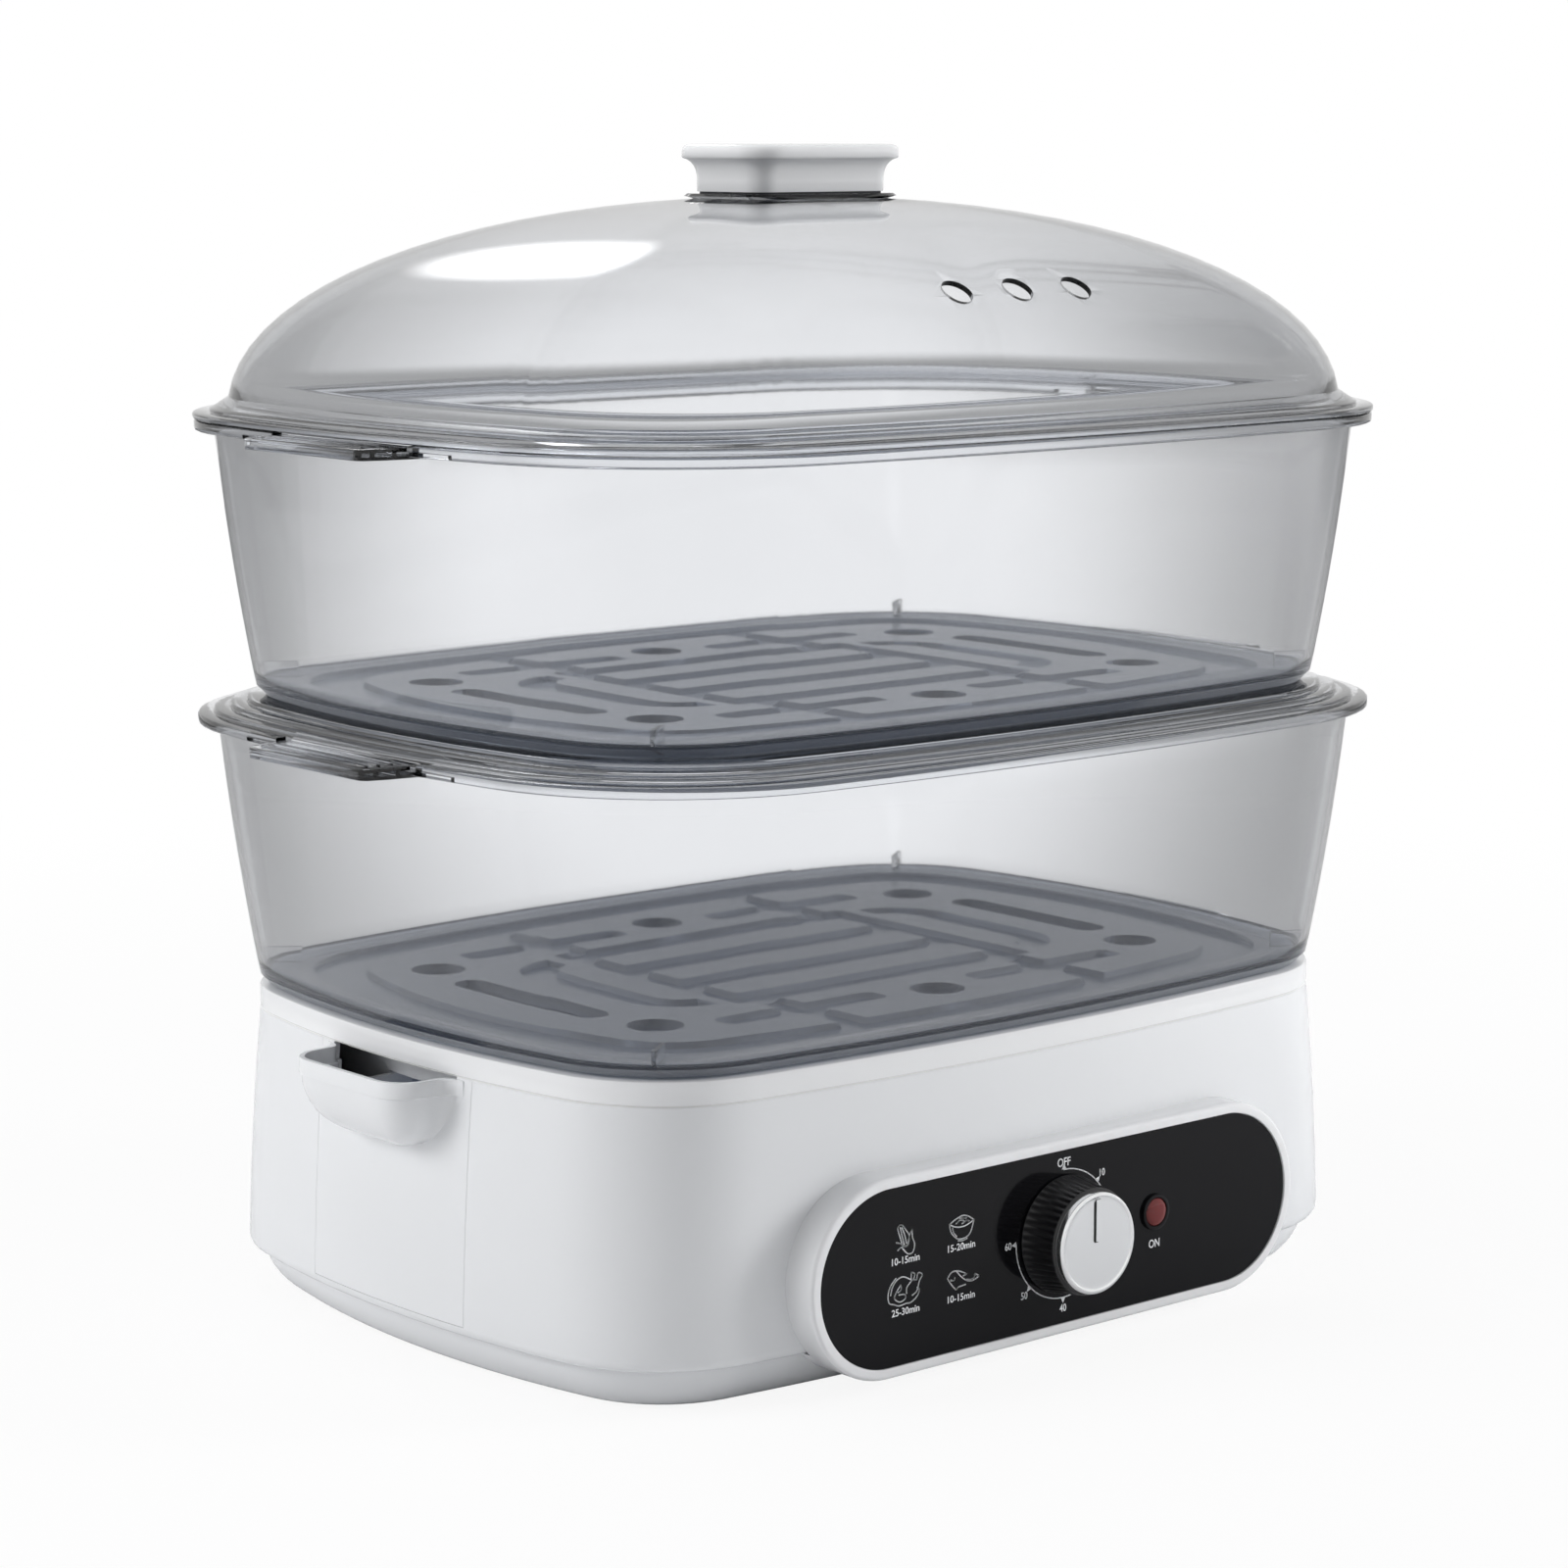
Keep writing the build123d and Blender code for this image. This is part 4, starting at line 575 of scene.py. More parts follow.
# water tank: the white top band, the shelf and the tapered bowl with the heater's opening
tank = {"shelf": 104.0, "shelfWidth": 7.0, "middle": 85.0, "floor": 66.0, "draft": 12.0, "round": 0.9,
        "heaterHole": 37.0, "inlet": (26.8, 76.2, 91.8, -175, 175), "bossCircle": 51.5, "boss": 4,
        "bossFoot": 61.0}
topEdge, seam, tankTop, wall = body["topEdge"], body["seam"], body["tankTop"], body["tankWall"]
shelfPlan = mouth.inset(tank["shelfWidth"])
ringCount = len(topEdge.points())
heaterHole = roundPlan(tank["heaterHole"], ringCount)
soft, shelf, tankFloor, draft = tank["round"], tank["shelf"], tank["floor"], tank["draft"]
profile = [(heaterHole, tankFloor)] + insets(
    (shelfPlan, draft + 6, tankFloor), (shelfPlan, draft + 2, tankFloor + 1),
    (shelfPlan, draft - 0.5, tankFloor + 4), (shelfPlan, draft / 2, tank["middle"]),
    (shelfPlan, 0.4, shelf - 0.8), (shelfPlan, -0.4, shelf), (mouth, 0.5, shelf), (mouth, 0, shelf + 0.5),
    (mouth, 0, tankTop - soft), (mouth, -0.3 * soft, tankTop - 0.3 * soft), (mouth, -soft, tankTop),
    (topEdge, soft, tankTop), (topEdge, 0.3 * soft, tankTop - 0.3 * soft), (topEdge, 0, tankTop - soft),
    (topEdge, 0, seam + 0.3), (topEdge, 0.3, seam), (topEdge, wall, seam), (topEdge, wall, tankTop - wall),
    (mouth, -wall, tankTop - wall), (mouth, -wall, shelf - wall), (shelfPlan, -wall, shelf - wall),
    (shelfPlan, draft - wall, tankFloor - wall))
profile.append((heaterHole, tankFloor - wall))
waterTank = wrapped("waterTank", profile, shut="loop")
cut(waterTank, sideBox(*tank["inlet"]))
bosses = []
for turn in (90, 210, 330):
    across, along = math.cos(math.radians(turn)), math.sin(math.radians(turn))
    circle = shifted(roundPlan(tank["boss"], 24), tank["bossCircle"] * across, tank["bossCircle"] * along)
    bosses.append(block(circle, tank["bossFoot"], tankFloor - wall - 0.05))
waterTank = joined("waterTank", waterTank, *bosses)
smooth(wear(waterTank, "frameWhite"))
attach(waterTank, "base")
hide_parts("water_tank")
print("tank made")

# drip tray with its steam chimney
tray = {"seat": 104.3, "wall": 1.6, "floor": 92.8, "draft": 5.0, "gap": 0.8, "chimneyTop": 103.9,
        "collarHeight": 2.0, "chimney": (46, 29, 19.3)}
trayPlan = shelfPlan.inset(tray["gap"])
collar = mouth.inset(tray["gap"])
collarIn = collar.inset(tray["wall"])
collarTop = body["basketFoot"] + tray["collarHeight"]
seat, sheet, trayFloor, trayDraft = tray["seat"], tray["wall"], tray["floor"], tray["draft"]
chimneyTop = tray["chimneyTop"]
quarterSteps = (ringCount - 4) // 4


def chimneyPlan(inward):
    return pillPlan(*[value - inward for value in tray["chimney"]], steps=quarterSteps)


profile = [(chimneyPlan(inward), z) for inward, z in (
    (sheet, trayFloor), (sheet, chimneyTop - 0.4), (0.8, chimneyTop), (0, chimneyTop - 0.4),
    (0, trayFloor + sheet + 1))] + [(pillPlan(47, 30, 20, steps=quarterSteps), trayFloor + sheet)]
profile += insets(
    (trayPlan, trayDraft + sheet + 3, trayFloor + sheet),
    (trayPlan, trayDraft + sheet, trayFloor + sheet + 2), (trayPlan, sheet, seat + sheet - 0.6),
    (trayPlan, sheet - 0.6, seat + sheet), (collarIn, 0, seat + sheet), (collarIn, 0, collarTop - 0.4),
    (collarIn, -0.4, collarTop), (collar, 0.4, collarTop), (collar, 0, collarTop - 0.4), (collar, 0, seat),
    (trayPlan, 0, seat), (trayPlan, trayDraft, trayFloor + 2), (trayPlan, trayDraft + 2, trayFloor))
dripTray = wrapped("dripTray", profile, shut="loop")
smooth(wear(dripTray, "smokyTray"))
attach(dripTray, "drip_tray")
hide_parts("drip_tray")
print("tray made")

# baskets: one moulding, made once and copied a storey higher
basket = {"wall": 2.0, "floor": 4.2, "groove": 2.2, "footInset": 0.6, "topInset": 6.6, "bulge": 0.9,
          "bevel": 3.2, "grooveGap": 0.5, "lip": 3.7, "steps": 3, "stepWidth": 5.4, "stepRise": 1.8,
          "skin": 2.0, "mouthLip": 7.0, "edge": 0.7}
foot, rim = body["basketFoot"], body["rim"]
rimHeight = body["pitch"] - 0.3 - basket["steps"] * basket["stepRise"]
lipLow = rimHeight - basket["lip"]
wallFoot, wallTop = topEdge.inset(basket["footInset"]), rim.inset(basket["topInset"])


def basketPlan(share, depth=0.0):
    return wallFoot.towards(wallTop, share, basket["bulge"] * 4 * share * (1 - share)).inset(depth)


edge, rise, bevel, slack = basket["edge"], basket["stepRise"], basket["bevel"], basket["grooveGap"]
collarGroove = tray["collarHeight"] + slack
profile = insets((collarIn, slack, 0), (collarIn, slack, collarGroove),
                 (collar, -slack, collarGroove), (collar, -slack, 0))
profile += [(basketPlan(0, bevel + 0.4), 0), (basketPlan(0, bevel - 0.8), 0.3),
            (basketPlan(0, 0.5), bevel - 0.6), (basketPlan(0.03), bevel + 0.4)]
profile += [(basketPlan(i / 10), (lipLow + 1) * i / 10) for i in range(1, 10)]
profile += [(basketPlan(1), lipLow - 0.3)] + insets(
    (wallTop, -0.4, lipLow), (rim, edge, lipLow), (rim, 0.2, lipLow + 0.3), (rim, 0, lipLow + edge + 0.2),
    (rim, 0, rimHeight - edge), (rim, 0.25, rimHeight - 0.25), (rim, edge, rimHeight))
for step in range(1, basket["steps"] + 1):
    start, z = step * basket["stepWidth"], rimHeight + (step - 1) * rise
    profile += insets((rim, start - 0.5, z), (rim, start, z + 0.4), (rim, start, z + rise - 0.5),
                      (rim, start + 0.15, z + rise - 0.15), (rim, start + 0.5, z + rise))
ledge = rimHeight + basket["steps"] * rise
skin, wallIn = basket["skin"], basket["wall"]
lipFoot = ledge - basket["mouthLip"]
collarHigh = body["pitch"] + tray["collarHeight"]
profile += insets(
    (collar, -0.2, ledge), (collar, 0, ledge + 0.2), (collar, 0, collarHigh - 0.4), (collar, 0.4, collarHigh),
    (collarIn, -0.4, collarHigh), (collarIn, 0, collarHigh - 0.4), (collarIn, 0, lipFoot + 0.4),
    (collarIn, -0.4, lipFoot), (collar, 0.4, lipFoot), (collar, 0, lipFoot + 0.4), (collar, 0, ledge - skin))
for step in range(basket["steps"], 1, -1):
    start, z = step * basket["stepWidth"] + skin, rimHeight + step * rise - skin
    profile += insets((rim, start, z), (rim, start, z - rise))
profile += [(wallTop.inset(wallIn), rimHeight + rise - skin), (basketPlan(1, wallIn), lipLow + 1)]
profile += [(basketPlan(1 - i / 10, wallIn), (lipLow + 1) * (1 - i / 10)) for i in range(1, 10)]
floorTop = basket["floor"]
profile += [(basketPlan(0.05, wallIn), floorTop + 1.5), (basketPlan(0.04, wallIn + 0.5), floorTop + 0.5),
            (basketPlan(0.04, wallIn + 1.5), floorTop)]
lowerBasket = wrapped("lowerBasket", [(plan, foot + z) for plan, z in profile], shut="ends")

floorCut = {
    "hole": 10, "holeX": 114, "holeY": 62, "middleY": 79, "slotX": 120, "slotHalf": 40, "slotWide": 6.5,
    "rail": 65, "railWide": 5.5, "ladderHalf": 54.5, "rungs": (-48, -16, 16, 48), "rungWide": 7.25,
    "outer": (99, 50, 25), "inner": (86, 38, 12.5), "arm": 76, "armEnd": 110, "armHalf": 80,
    "crossX": 58, "crossY": 73, "crossWide": 6, "crossLong": 36, "stemY": 79, "stemLong": 25, "draft": 0.9,
    "gutter": mouth.inset(7.1).cornered(44), "plateau": mouth.inset(24).cornered(30),
}
grooveLow, grooveHigh = foot + floorTop - basket["groove"], foot + floorTop + 0.6
draft = floorCut["draft"]


def grooveBlock(halfX, halfY, x, y, corner=2.0):
    deep = shifted(pillPlan(halfX - draft, halfY - draft, max(corner - draft, 0.4), 5), x, y)
    brim = shifted(pillPlan(halfX, halfY, corner, 5), x, y)
    return wrapped("groove", [(deep, grooveLow), (brim, grooveHigh - 0.6), (brim, grooveHigh)], shut="ends")


def grooveLoop(outer, inner, widen):
    # ring-shaped cutter between two outlines
    rings = [(widen(outer, -draft), grooveLow), (widen(outer, 0), grooveHigh), (widen(inner, 0), grooveHigh),
             (widen(inner, draft), grooveLow)]
    return wrapped("groove", rings, shut="loop")


def throughFloor(points):
    cut(lowerBasket, block(points, foot - 2, foot + 8))


cut(lowerBasket, grooveLoop(floorCut["gutter"], floorCut["plateau"], lambda plan, d: plan.inset(-d)))
for side in (-1, 1):
    ringCutter = grooveLoop(floorCut["outer"], floorCut["inner"],
                            lambda size, d: pillPlan(*[value + d for value in size], 8))
    reach = sorted((-side * floorCut["armEnd"], side * floorCut["arm"]))
    cut(ringCutter, sideBox(floorCut["armHalf"], foot - 5, foot + 20, *reach))
    cut(lowerBasket, ringCutter)
    cut(lowerBasket, grooveBlock(floorCut["railWide"], floorCut["ladderHalf"], side * floorCut["rail"], 0, 3))
for y in floorCut["rungs"]:
    cut(lowerBasket, grooveBlock(floorCut["rail"], floorCut["rungWide"], 0, y, 3))
corners = [(sx, sy) for sx in (-1, 1) for sy in (-1, 1)]
for sx, sy in corners:
    x = sx * floorCut["crossX"]
    cut(lowerBasket, grooveBlock(floorCut["crossLong"], floorCut["crossWide"], x, sy * floorCut["crossY"], 4))
    cut(lowerBasket, grooveBlock(floorCut["crossWide"], floorCut["stemLong"], x, sy * floorCut["stemY"], 4))
holes = [(sx * floorCut["holeX"], sy * floorCut["holeY"]) for sx, sy in corners]
holes += [(0, floorCut["middleY"]), (0, -floorCut["middleY"])]
for x, y in holes:
    throughFloor(shifted(roundPlan(floorCut["hole"], 36), x, y))
for side in (-1, 1):
    slot = pillPlan(floorCut["slotWide"], floorCut["slotHalf"], steps=10)
    throughFloor(shifted(slot, side * floorCut["slotX"], 0))
print("floor pattern cut")

# fins in the corners and the side grips
fin = {"x": 150, "y": 108.5, "half": 6.5, "thick": 0.75, "low": 3.6, "high": 10.0}
grip = {"reach": 214.4, "half": 35.2, "root": 39.5, "inner": 189.5, "top": 98.5, "thick": 3.8, "skin": 1.2,
        "slot": 1.4, "round": 4.0, "gap": (194.6, 205.0), "cellHalf": 60,
        "cells": ((194.6, 201.4), (203.0, 208.9), (210.5, 212.9)), "ridges": (200.0, 205.0, 210.0),
        "ridge": (0.7, 31), "ridgeHigh": 0.6}
for sx, sy in corners:
    turn = math.degrees(math.atan2(sy * fin["y"], sx * fin["x"]))
    shape = shifted(pillPlan(fin["half"], fin["thick"], 0.4, 3), sx * fin["x"], sy * fin["y"], turn)
    cut(lowerBasket, block(shape, foot + fin["low"], foot + fin["high"]), how="UNION")
bend, gripTop = grip["round"], foot + grip["top"]
gripEnd, slotTop = grip["reach"] - bend, gripTop - grip["skin"]
for side in (-1, 1):
    reach = sorted(side * x for x in grip["gap"])
    cut(lowerBasket, sideBox(grip["root"], foot + lipLow - 0.01, foot + rimHeight + 0.01, *reach))
    half = [(grip["inner"], grip["root"]), (206, 36.7), (gripEnd, grip["half"])]
    half += [(gripEnd + bend * math.sin(t), grip["half"] - bend + bend * math.cos(t))
             for t in (0.4, 0.8, 1.2, math.pi / 2)]
    outline = [(side * x, y) for x, y in half + [(x, -y) for x, y in reversed(half)]]
    slab = stacked("grip", [(outline, gripTop - grip["thick"]), (outline, gripTop)])
    roundEdges(slab, 0.35, 2, 40)
    cut(lowerBasket, slab, how="UNION")
    for cell in grip["cells"]:
        reach = sorted(side * x for x in cell)
        cut(lowerBasket, sideBox(grip["cellHalf"], slotTop - grip["slot"], slotTop, *reach))
    for x in grip["ridges"]:
        ridge = shifted(pillPlan(*grip["ridge"], steps=4), side * x, 0)
        cut(lowerBasket, block(ridge, gripTop - 0.5, gripTop + grip["ridgeHigh"]), how="UNION")
wear(lowerBasket, "smoky", "hazyFloorPaintedShade")
# floor faces take the darker copy: painted shade over the floor's real haze
for polygon in lowerBasket.data.polygons:
    high = max(lowerBasket.data.vertices[i].co.z for i in polygon.vertices)
    polygon.material_index = 1 if high < (foot + basket["floor"] + 0.3) * mm else 0
smooth(lowerBasket, 32)
upperBasket = copyOf(lowerBasket, "upperBasket", (0, 0, body["pitch"]))
for piece, node in ((lowerBasket, "lower_basket"), (upperBasket, "upper_basket")):
    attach(piece, node)
    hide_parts(node)
print("baskets made")

# lid: flange over the rim, dome, pad for the knob, vents
dome = {"height": 78.0, "power": 2.1, "setback": 4.4, "sink": 1.4, "wall": 2.0, "flange": 2.4, "rise": 1.6,
        "padDrop": 0.5, "pad": (35.5, 23.4, 12), "crown": 2.2, "ventX": (-28, 0, 28), "ventY": 120.0,
        "ventDrop": 29.5, "ventTilt": 34.4, "vent": ((6.6, 4.5), (5.8, 0.2), (5.8, -9))}
flangeLow = foot + body["pitch"] + rimHeight + 0.3
stepClear = flangeLow + rise
domeLow = flangeLow + dome["rise"]
domeTop = domeLow + dome["height"]
padTop = domeTop - dome["padDrop"]


def domeRings(depth, shares):
    height = dome["height"] - dome["sink"] - depth
    rings = []
    for share in shares:
        shrink = (1 - share ** dome["power"]) ** (1 / dome["power"])
        rings.append((wallTop.inset(depth + dome["setback"]).scaled(shrink), domeLow + height * share))
    return rings


def padPlan(outward):
    return pillPlan(*[value + outward for value in dome["pad"]], steps=quarterSteps)


shares = [math.sin(math.pi / 2 * i / 20) for i in range(1, 20)]
domeWall, flangeTop, step = dome["wall"], flangeLow + dome["flange"], basket["stepWidth"]
profile = list(reversed(domeRings(domeWall, shares + [0.9992]))) + insets(
    (wallTop, domeWall, domeLow), (wallTop, domeWall, stepClear), (rim, step - 0.3, stepClear),
    (rim, step - 0.3, flangeLow + 0.3), (rim, step - 0.6, flangeLow), (rim, 0.1, flangeLow),
    (rim, -0.4, flangeLow + 0.4), (rim, -0.5, flangeLow + 0.9), (rim, -0.5, flangeLow + 1.6),
    (rim, -0.2, flangeLow + 2.1), (rim, 0.4, flangeTop), (rim, step - 0.5, flangeTop),
    (rim, step - 0.2, flangeTop + 0.3), (rim, step - 0.2, stepClear + 1.6),
    (rim, step + 0.3, stepClear + domeWall), (rim, step + 0.9, stepClear + domeWall + 0.1))
profile += [(plan, z) for plan, z in domeRings(0, shares)
            if stepClear + domeWall + 0.5 < z < domeTop - dome["crown"]]
profile += [(padPlan(1.2), padTop - 0.9), (padPlan(0), padTop)]
lidDome = wrapped("lidDome", profile, shut="ends")
smooth(wear(lidDome, "lidClear"), 30)
for x in dome["ventX"]:
    cutter = wrapped("vent", discs(40, *dome["vent"]), shut="ends")
    cutter.rotation_euler = (math.radians(dome["ventTilt"]), 0, 0)
    cutter.location = (x * mm, -dome["ventY"] * mm, (domeTop - dome["ventDrop"]) * mm)
    settle(cutter)
    cut(lidDome, cutter)
smooth(lidDome, 30)
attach(lidDome, "lid")
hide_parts("lid")
print("lid made")

# lid knob: necked rounded rectangle
knob = {"size": (37.5, 25.4, 14.0), "profile": (
    (8.1, 12.0), (8.1, 0.0), (5.7, 0.0), (5.5, 0.3), (5.5, 4.0), (5.35, 6.0), (5.0, 7.8), (4.3, 9.3),
    (3.3, 10.5), (2.0, 11.4), (0.9, 11.8), (0.35, 12.0), (0.0, 12.5), (0.0, 14.6), (0.25, 15.6), (0.9, 16.4),
    (1.9, 16.8), (3.4, 16.95), (8.0, 17.0))}
lidKnob = wrapped("lidKnob", [(pillPlan(*[value - inward for value in knob["size"]], 10), padTop + 0.7 + z)
                              for inward, z in knob["profile"]], shut="ends")
smooth(wear(lidKnob, "frameWhite"), 40)
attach(lidKnob, "lid")
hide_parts("lid_knob")
print("lid knob made")

# control panel, drawn facing up and then turned to the front
panel = {"z": 40.1, "low": 1.2, "half": (115.5, 34.4), "face": 144.5, "proud": 0.5, "root": 118.0,
         "round": 1.6, "wall": 2.4, "fascia": (111.2, 30.5), "thick": 1.3, "gap": 0.15}


def faced(piece, x=0.0, low=0.0):
    # local z becomes the way to the front
    piece.rotation_euler = (math.pi / 2, 0, 0)
    piece.location = (x * mm, 0, (panel["z"] - low) * mm)
    return settle(piece)


def pill(inset=0.0, of="half", steps=40):
    return pillPlan(*[value - inset for value in panel[of]], steps=steps)


face, front = panel["face"], panel["face"] + panel["proud"]
arc = [(1 - math.cos(t), 1 - math.sin(t)) for t in (0, 0.26, 0.52, 0.79, 1.05, 1.31, math.pi / 2)]
bed = face - panel["thick"]
hollow = pill(panel["wall"])
profile = [(hollow, bed - panel["wall"]), (hollow, panel["root"]), (pill(), panel["root"])]
profile += [(pill(panel["round"] * a), front - panel["round"] * b) for a, b in arc]
for outward, z in ((0.25, front), (0, front - 0.25), (0, bed)):
    profile.append((pill(-panel["gap"] - outward, "fascia"), z))
panelBezel = faced(wrapped("panelBezel", profile, shut="ends"), low=panel["low"])
housingSolid = wrapped("housingSolid", housingRings(0, body["housingLow"], 90.0), shut="ends")
coverGrown = coverEdge.inset(-0.3)
curlGrown = coverGrown.inset(skirt["curl"]).cornered(skirt["corner"] + 0.3)
coverSolid = wrapped("coverSolid", [
    (curlGrown, -2), (curlGrown, skirt["foot"]),
    (curlGrown.towards(coverGrown, 0.5, skirt["bulge"]), (skirt["foot"] + low) / 2),
    (coverGrown, low), (coverGrown, skirt["rim"])], shut="ends")
cut(panelBezel, housingSolid, coverSolid)
smooth(wear(panelBezel, "frameWhite"), 40)
profile = [(pill(inward, "fascia"), z) for inward, z in ((0, bed), (0, face - 0.15), (0.15, face))]
panelFascia = faced(wrapped("panelFascia", profile, shut="ends"), low=panel["low"])
smooth(wear(panelFascia, "fascia"), 40)
for piece, node, slot in ((panelBezel, "panel_bezel", "white_plastic"),
                          (panelFascia, "panel_fascia", "black_gloss")):
    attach(piece, "base")
    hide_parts(node)
print("panel made")

# timer knob: ribbed barrel, silver cap with a bright rim, raised pointer
dial = {"root": 144.9, "front": 158.7, "rootRadius": 20.7, "tipRadius": 18.6, "ribs": 48, "ribDepth": 0.55,
        "cap": 17.7, "capFront": 161.7, "capSteps": 96, "rim": 1.3, "dish": 0.3,
        "pointer": (2.6, 14.6, 0.8, 0.6)}


def ribbed(radius, depth, perRib=6):
    points = []
    for i in range(dial["ribs"] * perRib):
        share = (i % perRib) / perRib
        r = radius - depth * max(0.0, 1 - abs(share - 0.5) / 0.34)
        turn = 2 * math.pi * i / (dial["ribs"] * perRib)
        points.append((r * math.cos(turn), r * math.sin(turn)))
    return points


root, tip, depth = dial["root"], dial["front"], dial["ribDepth"]
length = tip - root


def barrel(share):
    return dial["rootRadius"] + (dial["tipRadius"] - dial["rootRadius"]) * share


profile = [(ribbed(radius, groove), y) for radius, groove, y in (
    (barrel(0) - 0.4, 0, root), (barrel(0), 0, root + 0.4), (barrel(0.07), 0, root + 0.07 * length),
    (barrel(0.11), depth, root + 0.11 * length), (barrel(0.93), depth, root + 0.93 * length),
    (barrel(0.96), 0, root + 0.96 * length), (barrel(1) - 0.1, 0, tip - 0.2), (barrel(1) - 0.4, 0, tip),
    (dial["cap"] - 1.5, 0, tip), (dial["cap"] - 1.5, 0, tip - 1.5))]
timerKnob = faced(wrapped("timerKnob", profile, shut="ends"))
wear(timerKnob, "ribbed", "knobRootHighlight")
# the ring at the knob's root takes the lighter grey: a painted highlight
for polygon in timerKnob.data.polygons:
    radius = math.hypot(polygon.center.x, polygon.center.z - panel["z"] * mm)
    polygon.material_index = int(-polygon.center.y < (root + 0.4) * mm and radius > (barrel(0) - 0.6) * mm)
smooth(timerKnob, 50)
capRadius, capFront, dishRadius = dial["cap"], dial["capFront"], dial["cap"] - dial["rim"]
dishFace = capFront - dial["dish"]
profile = discs(dial["capSteps"], (capRadius - 1.6, tip - 1.5), (capRadius - 1.6, tip), (capRadius, tip),
                *[(capRadius - 0.9 * a, capFront - 0.9 * b) for a, b in arc], (dishRadius + 0.1, capFront),
                (dishRadius, capFront - 0.1), (dishRadius - 0.5, dishFace), (capRadius - 3, dishFace))
knobCap = faced(wrapped("knobCap", profile, shut="ends"))
wear(knobCap, "capRim", "cap")
for polygon in knobCap.data.polygons:
    radius = math.hypot(polygon.center.x, polygon.center.z - panel["z"] * mm)
    inDish = polygon.center.y < -(dishFace - 0.05) * mm and radius < (dishRadius - 0.3) * mm
    polygon.material_index = int(inDish)
smooth(knobCap, 40)
wide, tall, start, high = dial["pointer"]
bar = shifted(pillPlan(wide / 2, tall / 2, 0.4, 4), 0, start + tall / 2)
barTop = shifted(pillPlan(wide / 2 - 0.2, tall / 2 - 0.2, 0.3, 4), 0, start + tall / 2)
profile = [(bar, dishFace), (bar, dishFace + high - 0.2), (barTop, dishFace + high)]
knobPointer = faced(wrapped("knobPointer", profile, shut="ends"))
wear(knobPointer, "cap", "ribbed")
# the pointer's side faces take the black finish: painted shade on its flanks
for polygon in knobPointer.data.polygons:
    polygon.material_index = int(abs(polygon.normal.y) < 0.5)
smooth(knobPointer, 30)
# a thin black strip beside and below the pointer: painted shade of its flank
groove = shifted(pillPlan(wide / 2, tall / 2, 0.8, 4), -0.85, start + tall / 2 - 0.35)
pointerShadeStrip = faced(block(groove, dishFace, dishFace + 0.06, "pointerShadeStrip"))
wear(pointerShadeStrip, "ribbed")
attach(pointerShadeStrip, "timer_dial")
for piece, node, slot in ((timerKnob, "timer_knob", "black_matte"),
                          (knobCap, "timer_knob_cap", "silver_satin"),
                          (knobPointer, "knob_pointer", "silver_satin")):
    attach(piece, "timer_dial")
    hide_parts(node)
print("timer knob made")

# indicator lamp: dark ring, domed red lens
lamp = {"x": 44.7, "ring": 6.5, "proud": 1.2, "lens": 5.0, "lensProud": 0.6, "root": 126.0, "barrel": 5.9,
        "bore": 4.5, "depth": 2.5}
ringFront, seatDepth, lens, ring = face + lamp["proud"], face - lamp["depth"], lamp["lens"], lamp["ring"]
profile = discs(64, (lamp["bore"], lamp["root"]), (lamp["barrel"], lamp["root"]), (lamp["barrel"], face),
                (ring, face), (ring, ringFront - 0.4), (ring - 0.12, ringFront - 0.12),
                (ring - 0.4, ringFront), (lens + 0.3, ringFront), (lens + 0.1, ringFront - 0.2),
                (lens + 0.1, seatDepth), (lamp["bore"], seatDepth))
lampRing = faced(wrapped("lampRing", profile, shut="loop"), lamp["x"])
smooth(wear(lampRing, "fascia"), 40)
domed = [(lens * math.cos(t), ringFront - 0.5 + (lamp["lensProud"] + 0.5) * math.sin(t))
         for t in (0.25, 0.5, 0.8, 1.1, 1.35)]
profile = discs(64, (lens, seatDepth), (lens, ringFront - 0.5), *domed)
lampLens = faced(wrapped("lampLens", profile, shut="ends"), lamp["x"])
smooth(wear(lampLens, "lens"), 50)
for piece, node, slot in ((lampRing, "lamp_ring", "black_gloss"), (lampLens, "lamp_lens", "red_lens")):
    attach(piece, "base")
    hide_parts(node)
print("lamp made")

# printing on the fascia: scale round the knob, times, food drawings
printing = {"lift": 0.03, "thick": 0.03, "arc": 22.6, "tick": (24.6, 22.7, 2.6), "line": 0.42,
            "stroke": 0.44, "digit": 2.7, "digitAt": 26.3, "off": (3.1, 6.2), "offAt": 25.2, "on": 3.0,
            "onDrop": -11.4, "weight": 0.012, "narrow": 0.86, "times": (2.5, 12.5), "columns": (-73.5, -48.1),
            "rows": (11.5, -6.0), "labelDrop": -7.4, "widen": 0.94}
printLow, printHigh = face + printing["lift"], face + printing["lift"] + printing["thick"]
inked = []


def ribbon(points, width):
    # a pen line: one round-ended flat piece for each stretch
    for (x0, y0), (x1, y1) in zip(points, points[1:]):
        reach, turn = math.dist((x0, y0), (x1, y1)), math.degrees(math.atan2(y1 - y0, x1 - x0))
        shape = pillPlan(reach / 2 + width / 2, width / 2, steps=3)
        shape = shifted(shape, (x0 + x1) / 2, (y0 + y1) / 2, turn)
        inked.append(block(shape, printLow, printHigh, "ink"))


def flowing(points, steps=4):
    # smooth curve through a few points
    ends = [points[0]] + points + [points[-1]]
    path = []
    for i in range(len(points) - 1):
        a, b, c, d = ends[i:i + 4]
        for k in range(steps):
            t = k / steps
            path.append(tuple(0.5 * (
                2 * b[j] + (c[j] - a[j]) * t + (2 * a[j] - 5 * b[j] + 4 * c[j] - d[j]) * t * t
                + (3 * b[j] - a[j] - 3 * c[j] + d[j]) * t ** 3) for j in (0, 1)))
    return path + [points[-1]]


